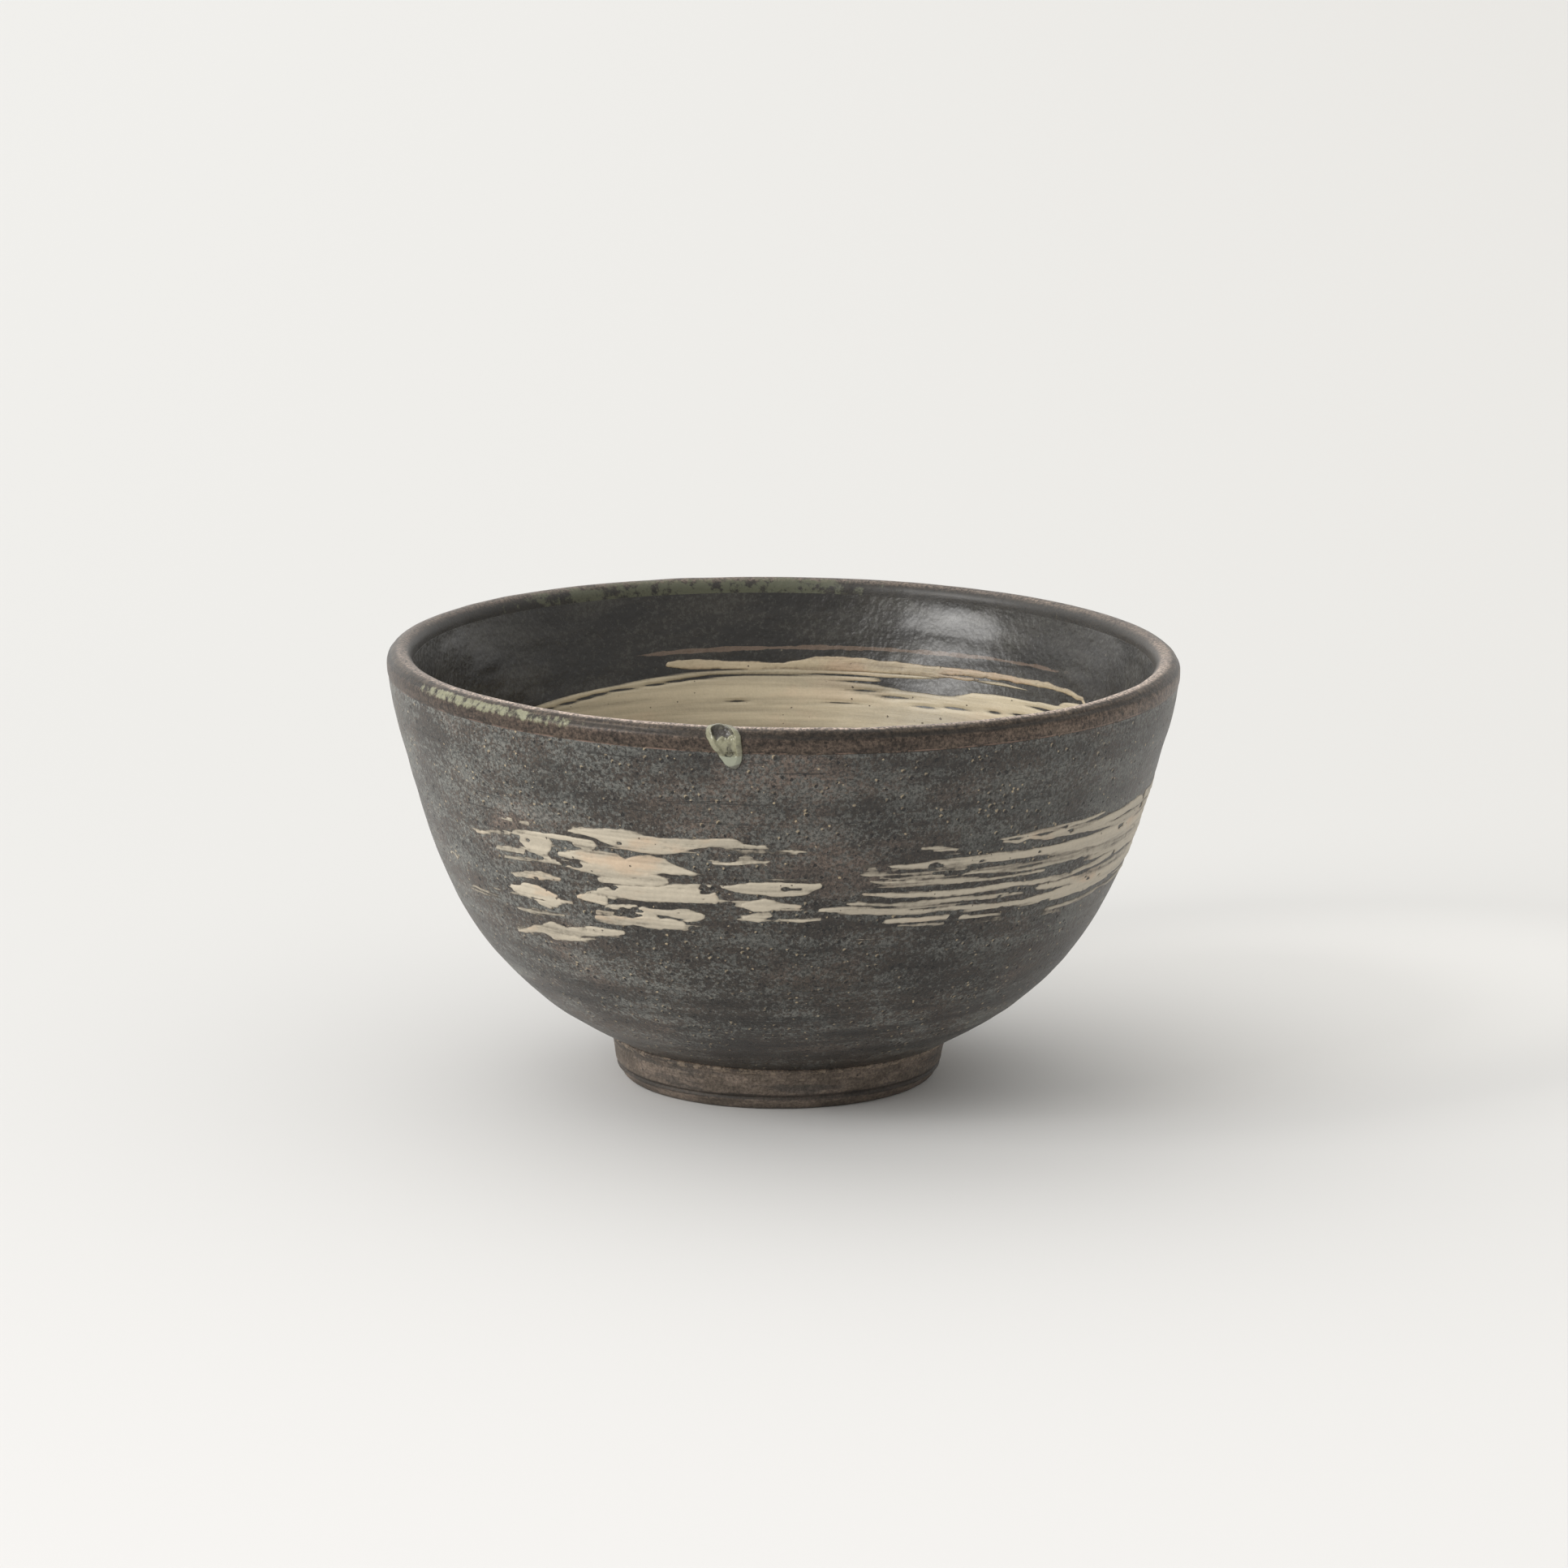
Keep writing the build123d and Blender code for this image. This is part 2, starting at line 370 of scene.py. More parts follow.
def shell_on_glaze(name, across, along, coat, azimuth_middle, numbers=None, wrapped=False):
    """A coat laid over the glaze. across (mm from azimuth_middle) and along are its grid; where coat
    is below 0 the face dips under the glaze, so the coat's edge is where the two surfaces cross.
    wrapped joins the last column, which lies on the first, to it."""
    azimuth = azimuth_middle + np.degrees(across / MIDDLE_RADIUS)
    grid_along, grid_azimuth = np.meshgrid(along, azimuth, indexing="ij")
    radius, height, out, up = glazed.at(grid_along)
    relief = glaze_relief(grid_along, grid_azimuth)
    lift = relief + np.maximum(coat, -SUNK)
    face = stand(radius + lift * out, height + lift * up, grid_azimuth).reshape(-1, 3)
    lift = relief - SUNK - 0.06
    behind = stand(radius + lift * out, height + lift * up, grid_azimuth).reshape(-1, 3)
    rows, columns = coat.shape
    highest = np.maximum.reduce([coat[:-1, :-1], coat[1:, :-1], coat[:-1, 1:], coat[1:, 1:]])
    kept = keep_large(highest > -0.05)
    row, column = np.nonzero(kept)
    corner = row * columns + column
    quads = np.stack([corner, corner + 1, corner + columns + 1, corner + columns], -1)
    under = quads[:, ::-1] + rows * columns
    padded = np.pad(kept, 1)
    if wrapped:
        padded[:, 0], padded[:, -1] = padded[:, -2], padded[:, 1]
    rim = []
    sides = ((-1, 0, 0, 1), (0, 1, 1, 2), (1, 0, 2, 3), (0, -1, 3, 0))
    for row_step, column_step, first, second in sides:
        edge = ~padded[row + 1 + row_step, column + 1 + column_step]
        a, b = quads[edge, first], quads[edge, second]
        rim.append(np.stack([b, a, a + rows * columns, b + rows * columns], -1))
    faces = np.vstack([quads, under] + rim)
    laid_across, laid_along = (np.tile(values.ravel(), 2) for values in np.meshgrid(across, along))
    share_across = (laid_across - across[0]) / (across[-1] - across[0])
    share_up = (laid_along - along[0]) / (along[-1] - along[0])
    flat = np.stack([0.002 + 0.996 * share_across, 0.003 + 0.9 * share_up], -1)[faces]
    flat[len(quads):, :, 1] = 0.91 + 0.08 * share_up[faces[len(quads):]]
    brush = np.stack([laid_across, laid_along, 0 * laid_across], -1)
    if wrapped:
        faces = np.where(faces % columns == columns - 1, faces - columns + 1, faces)
        turn = laid_across / MIDDLE_RADIUS
        brush = np.stack([MIDDLE_RADIUS * np.sin(turn), laid_along, MIDDLE_RADIUS * np.cos(turn)], -1)
    used, faces = np.unique(faces, return_inverse=True)
    points = np.vstack([face, behind])[used]
    kept_numbers = {"coat": np.tile(coat.ravel(), 2)[used], "brush": brush[used]}
    for key, values in (numbers or {}).items():
        kept_numbers[key] = np.tile(values.ravel(), 2)[used]
    return build_mesh(name, points, faces.reshape(-1, 4), (), kept_numbers, flat.reshape(-1, 2))


def keep_large(kept, least=5):
    """Drops specks: a cell stays only if enough of the cells round it stay too."""
    padded = np.pad(kept.astype(int), 1)
    around = sum(padded[1 + i:padded.shape[0] - 1 + i, 1 + j:padded.shape[1] - 1 + j]
                 for i in (-1, 0, 1) for j in (-1, 0, 1))
    return kept & (around >= least)


# Slip strokes


def lay(strokes, across, along, middle, to_along, seed, ragged, fuller=1.4):
    """The thickness of brushed slip over a grid, below 0 where there is none. Each stroke is a load
    and a list of (azimuth, height, half width). ragged bends their edges, and fuller widens them."""
    grid_across, grid_along = np.meshgrid(across, along)
    spots = np.stack([grid_across, grid_along, np.zeros_like(grid_across)], -1)
    bend_across = ragged * 2.2 * crumbs(spots * (0.5, 1, 1), 2.4, seed)
    bend_along = ragged * 0.55 * crumbs(spots * (0.45, 1, 1), 1.7, seed + 10)
    where_across, where_along = grid_across + bend_across, grid_along + bend_along
    thickness = np.full(grid_across.shape, -1.0)
    for load, path in strokes:
        points = np.array(path, float)
        u = np.radians(points[:, 0] - middle) * MIDDLE_RADIUS
        v = to_along(points[:, 1])
        w = points[:, 2]
        for a in range(len(path) - 1):
            du, dv = u[a + 1] - u[a], v[a + 1] - v[a]
            span = du * du + dv * dv
            share = np.clip(((where_across - u[a]) * du + (where_along - v[a]) * dv) / span, 0, 1)
            off = np.hypot(where_across - u[a] - share * du, where_along - v[a] - share * dv)
            width = fuller * (w[a] + share * (w[a + 1] - w[a])) + 0.12
            slope = (width - off) / 1.6
            thickness = np.maximum(thickness, np.minimum(slope, 0.52 * load))
    return thickness


def brush_hairs(spots, seed):
    """Fine grooves along a stroke, left by the brush."""
    fine, coarse = lumps(spots * (0.05, 1, 1), 0.42, seed), lumps(spots * (0.08, 1, 1), 0.9, seed + 1)
    return (fine + 0.6 * coarse) / 1.6


# Shader recipes


class Value:
    """A socket of a recipe. Arithmetic on it adds Math nodes."""

    def __init__(self, recipe, socket):
        self.recipe, self.socket = recipe, socket

    def __add__(self, other):
        return self.recipe.math("ADD", self, other)

    def __sub__(self, other):
        return self.recipe.math("SUBTRACT", self, other)

    def __mul__(self, other):
        return self.recipe.math("MULTIPLY", self, other)

    def __truediv__(self, other):
        return self.recipe.math("DIVIDE", self, other)

    def __rsub__(self, other):
        return self.recipe.math("SUBTRACT", other, self)

    __radd__ = __add__
    __rmul__ = __mul__


class Recipe:
    """One finish: a material, or the studio's air, with nodes added by node() and by arithmetic."""

    def __init__(self, name, world=None):
        self.material = world or bpy.data.materials.new(name)
        self.material.use_nodes = True
        self.tree = self.material.node_tree
        self.tree.nodes.clear()

    def node(self, kind, settings=None, sockets=None, out=0):
        made = self.tree.nodes.new("ShaderNode" + kind)
        for key, value in (settings or {}).items():
            setattr(made, key, value)
        for key, value in (sockets or {}).items():
            if isinstance(value, Value):
                self.tree.links.new(value.socket, made.inputs[key])
            else:
                made.inputs[key].default_value = value
        return Value(self, made.outputs[out])

    def math(self, operation, *values):
        return self.node("Math", {"operation": operation}, dict(enumerate(values)))

    def slope(self, value, low, high):
        """0 below low and 1 above high, with a smooth slope between. low may be the larger."""
        if low > high:
            return 1 - self.slope(value, high, low)
        return self.node("MapRange", {"interpolation_type": "SMOOTHSTEP"},
                         {"Value": value, "From Min": low, "From Max": high})

    def blend(self, share, under, over):
        """Colour over laid on colour under."""
        return self.node("Mix", {"data_type": "RGBA"}, {0: share, 6: under, 7: over}, 2)

    def shade(self, colour, amount):
        """A colour made lighter or darker by an amount about 1."""
        colour = colour if isinstance(colour, Value) else colour[:3]
        return self.node("VectorMath", {"operation": "SCALE"}, {0: colour, "Scale": amount})

    def stretch(self, vector, by):
        """A vector with each of its parts multiplied."""
        return self.node("VectorMath", {"operation": "MULTIPLY"}, {0: vector, 1: by})

    def push(self, vector, other):
        """A vector moved by another."""
        return self.node("VectorMath", {"operation": "ADD"}, {0: vector, 1: other})

    def spots(self):
        """Where a point lies on the bowl, in millimetres."""
        where = self.node("TexCoord", out=3)
        return self.stretch(where, (1000, 1000, 1000))

    def part(self, vector, axis):
        """One part of a vector: axis 0 is X, 1 is Y and 2 is Z."""
        return self.node("SeparateXYZ", None, {0: vector}, axis)

    def towards(self, vector, direction):
        """How far a vector reaches in a direction."""
        return self.node("VectorMath", {"operation": "DOT_PRODUCT"}, {0: vector, 1: direction}, 1)

    def kept(self, key, vector=False):
        """What the mesh keeps at each point under this name."""
        return self.node("Attribute", {"attribute_name": key}, out=1 if vector else 2)

    def clouds(self, spots, size, detail=4.0, roughness=0.55):
        """Fractal noise, about 0.5, with its largest features of this size."""
        return self.node("TexNoise", None, {
            "Vector": spots, "Scale": 1 / size, "Detail": detail, "Roughness": roughness})

    def cells(self, spots, size, out=0):
        """Distance to the nearest scattered point, in cell sizes; out=1 gives each cell's own colour."""
        return self.node("TexVoronoi", None, {"Vector": spots, "Scale": 1 / size}, out)

    def dots(self, spots, size, small, large, share):
        """Scattered round marks: 1 inside. share of the cells have one, of radius small to large."""
        distance = self.cells(spots, size)
        own = self.node("SeparateColor", None, {0: self.cells(spots, size, 1)}, 0)
        picked = self.math("GREATER_THAN", own, 1 - share)
        radius = (small + (own - (1 - share)) * ((large - small) / share)) / size
        return picked * self.slope(distance / radius, 1.0, 0.6)

    def jostled(self, spots, size, amount):
        """Points shoved about a little, so that marks drawn on them come out ragged."""
        shove = self.node("TexNoise", None, {"Vector": spots, "Scale": 1 / size, "Detail": 2.0}, 1)
        shove = self.stretch(self.push(shove, (-0.5, -0.5, -0.5)), (amount, amount, amount))
        return self.push(spots, shove)

    def near(self, spots, middle, far, close):
        """1 within close of a place, falling to 0 at far."""
        distance = self.node("VectorMath", {"operation": "DISTANCE"}, {0: spots, 1: middle}, 1)
        return self.slope(distance, far, close)

    def finish(self, colour, roughness, height=None, **fixed):
        """Ends the recipe in one glossy surface. height is in millimetres, and fixed holds constants."""
        sockets = {"Base Color": colour, "Roughness": roughness}
        if height is not None:
            sockets["Normal"] = self.node("Bump", None, {
                "Height": height, "Distance": 0.001, "Strength": 1.0})
        sockets.update({key.replace("_", " "): value for key, value in fixed.items()})
        self.end(self.node("BsdfPrincipled", None, sockets))
        return self.material

    def end(self, surface_out, kind="ShaderNodeOutputMaterial"):
        """Joins the last node to the output."""
        made = self.tree.nodes.new(kind)
        self.tree.links.new(surface_out.socket, made.inputs["Surface"])


def tone(red, green, blue):
    """A colour mixed on a 0 to 255 scale, as the shader's linear colour."""
    linear = [part / 255 / 12.92 if part <= 10 else ((part / 255 + 0.055) / 1.055) ** 2.4
              for part in (red, green, blue)]
    return (*linear, 1.0)


CHARCOAL, CHARCOAL_BROWN, CHARCOAL_DEEP = tone(44, 39, 34), tone(58, 50, 43), tone(30, 27, 23)
SLATE, OLIVE_BLACK, ROSE_BROWN = tone(87, 88, 84), tone(34, 32, 26), tone(106, 92, 82)
PIT_BLACK, GRIT, SAND = tone(12, 10, 9), tone(186, 168, 138), tone(132, 126, 112)


def dark_glaze_colour(r, spots):
    """The outside glaze: a charcoal ground grained with slate, pits and grit, and banded by throwing
    towards the foot. Gives colour, roughness and height."""
    flat = r.stretch(spots, (1.0, 1.0, 1.8))
    layered = r.stretch(spots, (0.07, 0.07, 1.0))
    ragged = r.jostled(spots, 0.6, 0.5)
    low = r.slope(r.part(spots, 2), 38, 14)
    patch = r.clouds(flat, 9.0, 6.0, 0.68)
    speck = r.clouds(spots, 0.75, 3.0, 0.8)
    grain = r.slope(r.clouds(r.push(spots, (5, 9, 2)), 0.5, 2.0, 0.8), 0.34, 0.66)
    seams = r.clouds(layered, 2.8, 5.0, 0.62)
    colour = r.blend(r.slope(r.clouds(flat, 17.0, 4.0), 0.38, 0.62), CHARCOAL, CHARCOAL_BROWN)
    bloom = r.slope(r.near(spots, (-2, -59, 57), 27, 6) * 0.14
                    + r.clouds(r.push(flat, (7, 30, 4)), 18.0, 5.0, 0.55) + speck * 0.35, 0.73, 0.92)
    colour = r.blend(bloom * 0.6, colour, ROSE_BROWN)
    slate = r.slope(speck * 1.6 + patch * 1.15 + seams * 0.4 - low * 0.08, 1.50, 1.65)
    colour = r.blend(slate * 0.8, colour, SLATE)
    murk = r.slope(r.clouds(r.push(flat, (40, 3, 9)), 14.0, 6.0, 0.7) + speck * 0.7, 0.94, 1.08)
    colour = r.blend(murk * 0.55, colour, OLIVE_BLACK)
    bands = r.slope(seams, 0.40, 0.60)
    # painted sheen: the glaze is lightened on the left, window side and towards the right edge, standing in
    # for the glossy reflection there
    painted_sheen_sides = r.near(spots, (-64, -18, 42), 78, 18) + r.near(spots, (66, -20, 52), 62, 12) * 0.4
    # painted light: the glaze is also lightened towards the foot, standing in for light bounced up from the
    # floor; the throwing bands grow stronger there too
    colour = r.shade(colour, 1 + painted_sheen_sides * 0.75 + low * 0.20 + (low * 0.9 + 0.25) * (bands - 0.5))
    colour = r.shade(colour, 0.33 + grain * 1.08)
    hairline = r.slope(r.clouds(r.stretch(spots, (0.05, 0.05, 1.6)), 1.3, 3.0, 0.6), 0.66, 0.69)
    colour = r.blend(hairline * 0.7, colour, CHARCOAL_DEEP)
    pits = r.dots(ragged, 1.25, 0.18, 0.42, 0.55)
    beside = r.dots(r.push(ragged, (0.24, 0.05, -0.22)), 1.25, 0.18, 0.42, 0.55)  # grit by its pit
    dashes = r.dots(r.stretch(ragged, (0.40, 0.40, 1.7)), 1.1, 0.10, 0.20, 0.45)
    grit = r.dots(r.push(ragged, (3.1, 7.7, 1.3)), 1.7, 0.12, 0.28, 0.40)
    sand = r.dots(r.push(ragged, (1.1, 2.7, 8.3)), 0.65, 0.06, 0.13, 0.50)
    colour = r.blend(sand * 0.5, colour, SAND)
    colour = r.blend(dashes * 0.8, colour, PIT_BLACK)
    colour = r.blend(beside * r.slope(patch, 0.44, 0.56) * 0.65, colour, GRIT)
    colour = r.blend(grit * 0.8, colour, GRIT)
    colour = r.blend(pits * 0.95, colour, PIT_BLACK)
    rough = 0.44 + slate * 0.06 + (grain - 0.5) * 0.16 + grit * 0.2
    bump = (grain * 0.03 + speck * 0.12 + seams * 0.10 + grit * 0.06
            - pits * 0.16 - dashes * 0.08 - hairline * 0.03)
    return colour, rough, bump


def outer_glaze_finish():
    r = Recipe("dark_glaze")
    colour, rough, bump = dark_glaze_colour(r, r.spots())
    return r.finish(colour, rough, bump, Coat_Weight=0.12, Coat_Roughness=0.3)


def lip_finish():
    """The lip: a pale crest, from wear and from a painted highlight that brightens it towards the front,
    iron speckle, a blackish hollow and a thin peach line at the foot of the band, with pale green glaze
    pooled on part of it. Its right side is lightened as a painted reflection. It has a coppery sheen."""
    r = Recipe("lip_glaze")
    spots = r.spots()
    rise = r.kept("rise")
    waver = (r.clouds(spots, 6.0, 5.0, 0.6) - 0.5) * 1.6
    fine = r.clouds(spots, 0.5, 4.0, 0.78)
    speck = r.clouds(spots, 0.9, 4.0, 0.75)
    drawn = r.clouds(r.stretch(spots, (0.3, 0.3, 2.2)), 2.4, 4.0, 0.65)
    under = rise + waver * 0.5
    colour = r.blend(r.slope(speck + drawn * 0.8, 0.72, 1.08), tone(40, 33, 27), tone(82, 71, 60))
    rose = r.slope(under, -2.3, -2.9) * r.slope(under, -4.9, -4.4)
    colour = r.blend(rose * r.slope(speck, 0.30, 0.70) * 0.55, colour, tone(98, 83, 74))
    hollow = r.slope(under, -1.5, -2.0) * r.slope(under, -2.9, -2.4)
    hollow = hollow * r.slope(drawn + fine * 0.4, 0.56, 0.76)
    colour = r.blend(hollow * 0.75, colour, tone(29, 27, 25))
    crest = r.slope(under, -1.1, -0.3) * r.slope(under, 2.2, 0.8)
    # painted highlight: the crest is lightened towards the front, most at the front left, standing in for
    # the window's reflection; the slight paleness all round is wear
    front = r.near(spots, (-22, -56, 68), 48, 22)
    front_highlight = r.near(spots, (0, -60, 68), 100, 55)
    crest_wear_and_highlight = crest * r.slope(fine, 0.30, 0.62) * (0.18 + front_highlight * 0.42 + front * 0.38)
    colour = r.blend(crest_wear_and_highlight, colour, tone(196, 177, 163))
    peach = r.slope(rise, -5.05, -4.92) * r.slope(rise, -4.66, -4.78)
    peach = peach * r.slope(r.clouds(spots, 4.0, 4.0, 0.7), 0.42, 0.58)
    dark, _, dark_bump = dark_glaze_colour(r, spots)
    below = r.slope(rise, -4.92, -5.05)
    # painted reflection: the lip is lightened towards the right side, standing in for the pale wall it
    # reflects
    right = r.near(spots, (62, -22, 68), 60, 20)
    inside = r.slope(rise + (speck - 0.5) * 1.5, 0.7, 1.9)
    colour = r.blend(inside * 0.9, colour, tone(30, 27, 22))
    colour = r.shade(colour, (0.35 + r.slope(fine, 0.3, 0.7) * 1.15) * (1 + right * 0.7))
    colour = r.blend(below, colour, dark)
    colour = r.blend(peach * 0.45, colour, tone(150, 124, 110))
    runs = r.clouds(r.stretch(spots, (1, 1, 0.45)), 1.5, 5.0, 0.72) - 0.5
    celadon = r.slope(r.kept("celadon") * 0.75 + runs * 2.8, 0.45, 0.92)
    colour = r.blend(celadon * 0.85, colour, r.shade(tone(136, 135, 108), 0.45 + fine * 1.1))
    back_green = r.kept("back_green") * 0.9 + (r.clouds(spots, 2.6, 6.0, 0.7) - 0.5) * 3.2
    back = r.slope(back_green, 0.62, 0.95)
    colour = r.blend(back * 0.6, colour, tone(94, 97, 76))
    rough = 0.34 + fine * 0.2 - celadon * 0.12
    bump = fine * 0.05 + speck * 0.06 + celadon * 0.06 - hollow * 0.05 + below * dark_bump
    metal = 0.5 * (1 - r.math("MAXIMUM", r.math("MAXIMUM", celadon, below), inside))
    return r.finish(colour, rough, bump, Metallic=metal, Coat_Weight=0.1, Coat_Roughness=0.2)


def inner_glaze_finish():
    """Inside: near black, glossy and lightly hammered, with a thin pink line under the lip."""
    r = Recipe("inner_glaze")
    spots = r.spots()
    flat = r.stretch(spots, (1.0, 1.0, 2.4))
    layered = r.stretch(spots, (0.10, 0.10, 1.0))
    ground = r.clouds(flat, 14.0, 5.0, 0.6)
    grain = r.clouds(spots, 1.2, 4.0, 0.66)
    rings = r.clouds(layered, 2.6, 4.0, 0.6)
    colour = r.blend(r.slope(ground, 0.36, 0.64), tone(22, 19, 15), tone(38, 34, 28))
    colour = r.blend(r.slope(rings, 0.58, 0.72) * 0.3, colour, tone(58, 53, 45))
    line = r.slope(r.kept("line") + (r.clouds(flat, 5.0, 4.0, 0.6) - 0.5) * 1.4, 0.50, 0.66)
    speck = r.slope(r.clouds(spots, 0.8, 3.0, 0.8) * 1.2 + ground * 0.5, 0.86, 0.98)
    colour = r.blend(speck * 0.5, colour, tone(66, 66, 60))
    colour = r.shade(colour, 0.55 + grain * 0.9)
    colour = r.blend(line * 0.36, colour, tone(150, 126, 108))
    grit = r.dots(spots, 3.6, 0.12, 0.30, 0.25)
    colour = r.blend(grit * 0.5, colour, tone(120, 112, 96))
    hammered = r.clouds(spots, 1.0, 1.0) * 0.14 + r.clouds(spots, 2.2, 2.0) * 0.20
    bump = grain * 0.10 + hammered + rings * 0.10
    return r.finish(colour, 0.26 + grain * 0.12, bump,
                    Coat_Weight=0.8, Coat_Roughness=0.2, Specular_IOR_Level=0.3)


def slip_finish(name, pale, warm, thin, rough=0.5, hair=0.55, blush_over=0.52, streaks=0.2):
    """Brushed slip: pale where it lies thick, warm in blushes, and greyed by the glaze under it where
    the brush left it thin or it feathers out."""
    r = Recipe(name)
    spots = r.spots()
    brush, coat = r.kept("brush", True), r.kept("coat")
    drawn = r.stretch(brush, (0.05, 1.0, 0.05))
    hairs = r.clouds(drawn, hair, 4.0, 0.62)
    broad = r.clouds(drawn, hair * 4, 4.0, 0.6)
    blush = r.clouds(r.stretch(brush, (0.4, 1.0, 0.4)), 7.0, 4.0, 0.55)
    flake = r.clouds(spots, 0.5, 4.0, 0.75)
    body = coat * 6 + (hairs - 0.5) * 1.1 + (flake - 0.5) * 0.5 + (broad - 0.5) * 0.8
    colour = r.blend(r.slope(blush, blush_over, blush_over + 0.14) * 0.6, pale, warm)
    colour = r.blend(r.slope(body, 0.85, 0.15) * 0.7, colour, thin)
    light = 1.0 - streaks + r.slope(broad, 0.36, 0.64) * streaks + (flake - 0.5) * 0.3
    colour = r.shade(colour, light)
    bare = r.slope(body, 0.24, 0.0)
    colour = r.blend(bare * 0.9, colour, tone(66, 61, 54))
    ragged = r.jostled(spots, 0.5, 0.4)
    specks = r.dots(ragged, 1.5, 0.10, 0.26, 0.40)
    colour = r.blend(specks * 0.8, colour, tone(56, 45, 37))
    bump = hairs * 0.05 + flake * 0.04 - specks * 0.08 - bare * 0.04
    return r.finish(colour, rough + (flake - 0.5) * 0.2, bump)


def bead_finish():
    """The pale bead: cloudy green, a dark outline where it meets the lip, burnt marks within, and painted
    shade along its lower end.
    """
    r = Recipe("pale_bead")
    spots = r.spots()
    coat, soot, pool, painted_shade_under_pool = (r.kept(key) for key in ("coat", "soot", "pool", "painted_shade_under_pool"))
    cloud = r.clouds(spots, 1.6, 4.0, 0.6)
    fine = r.clouds(spots, 0.45, 4.0, 0.7)
    colour = r.blend(r.slope(cloud, 0.36, 0.64), tone(104, 101, 80), tone(140, 138, 114))
    colour = r.blend(pool * 0.9, colour, tone(146, 150, 132))
    burnt = r.slope(soot * 0.8 + (fine - 0.5), 0.46, 0.66)
    burnt_tone = r.blend(r.slope(cloud, 0.5, 0.6), tone(40, 36, 32), tone(84, 80, 70))
    colour = r.blend(burnt * 0.85, colour, burnt_tone)
    # painted shade along the bead's lower end
    colour = r.blend(painted_shade_under_pool * 0.7, colour, tone(72, 66, 60))
    outline = r.slope(coat, 0.42, 0.14)
    colour = r.blend(outline * 0.9, colour, tone(38, 31, 25))
    return r.finish(colour, 0.2 + burnt * 0.2, fine * 0.03 - burnt * 0.06,
                    Coat_Weight=0.3, Coat_Roughness=0.1)


def foot_finish():
    """Bare iron-brown clay, smoked in places, with pale broken flakes along the joint."""
    r = Recipe("foot_clay")
    spots = r.spots()
    height = r.part(spots, 2)
    flat = r.stretch(spots, (1.0, 1.0, 2.2))
    layered = r.stretch(spots, (0.12, 0.12, 1.0))
    ground = r.clouds(flat, 7.0, 6.0, 0.62)
    grain = r.clouds(spots, 0.5, 4.0, 0.78)
    seams = r.clouds(layered, 1.4, 4.0, 0.6)
    colour = r.blend(r.slope(ground, 0.38, 0.64), tone(88, 78, 68), tone(128, 114, 102))
    colour = r.blend(r.slope(seams, 0.56, 0.68) * 0.4, colour, tone(124, 111, 98))
    drawn = r.clouds(r.stretch(spots, (0.22, 0.22, 1.3)), 3.2, 5.0, 0.68)
    smoke = r.slope(drawn + (ground - 0.5) * 0.8, 0.50, 0.64) * r.slope(height, 2.2, 3.0)
    colour = r.blend(smoke * 0.65, colour, tone(44, 45, 44))
    wavering = height + (drawn - 0.5) * 1.2
    groove = r.slope(wavering, 1.5, 1.9) * r.slope(wavering, 3.0, 2.5)
    colour = r.blend(groove * 0.75, colour, tone(32, 29, 26))
    colour = r.blend(r.slope(height, 1.4, 0.6) * 0.4, colour, tone(54, 48, 42))
    colour = r.shade(colour, 0.5 + r.slope(grain, 0.3, 0.7))
    up = height + r.part(spots, 0) * math.tan(LEAN) + (ground - 0.5) * 0.5
    torn = r.slope(grain * 0.6 + r.clouds(spots, 1.8, 4.0, 0.7), 0.74, 0.90)
    joint = r.slope(up, 6.22, 6.38)
    score = r.slope(r.math("ABSOLUTE", up - 5.35), 0.22, 0.1)
    pale = (joint * torn + score * torn * 0.5) * r.slope(r.kept("outer"), 0.5, 0.8)
    colour = r.blend(pale * 0.85, colour, tone(154, 138, 120))
    pits = r.dots(spots, 2.4, 0.08, 0.24, 0.3)
    colour = r.blend(pits * 0.8, colour, tone(34, 29, 26))
    bump = grain * 0.07 + seams * 0.08 - pits * 0.1 + pale * 0.05
    return r.finish(colour, 0.62 + (grain - 0.5) * 0.2, bump)


def clay_finish():
    """The bare clay under the foot, turned and left unglazed."""
    r = Recipe("bare_clay")
    spots = r.spots()
    grain = r.clouds(spots, 0.7, 5.0, 0.7)
    ground = r.clouds(spots, 11.0, 6.0, 0.6)
    colour = r.blend(r.slope(ground, 0.38, 0.62), tone(98, 82, 72), tone(136, 116, 102))
    colour = r.shade(colour, 0.7 + grain * 0.6)
    sand = r.dots(spots, 1.8, 0.1, 0.28, 0.3)
    colour = r.blend(sand * 0.6, colour, tone(186, 172, 150))
    return r.finish(colour, 0.74, grain * 0.09 + sand * 0.05)


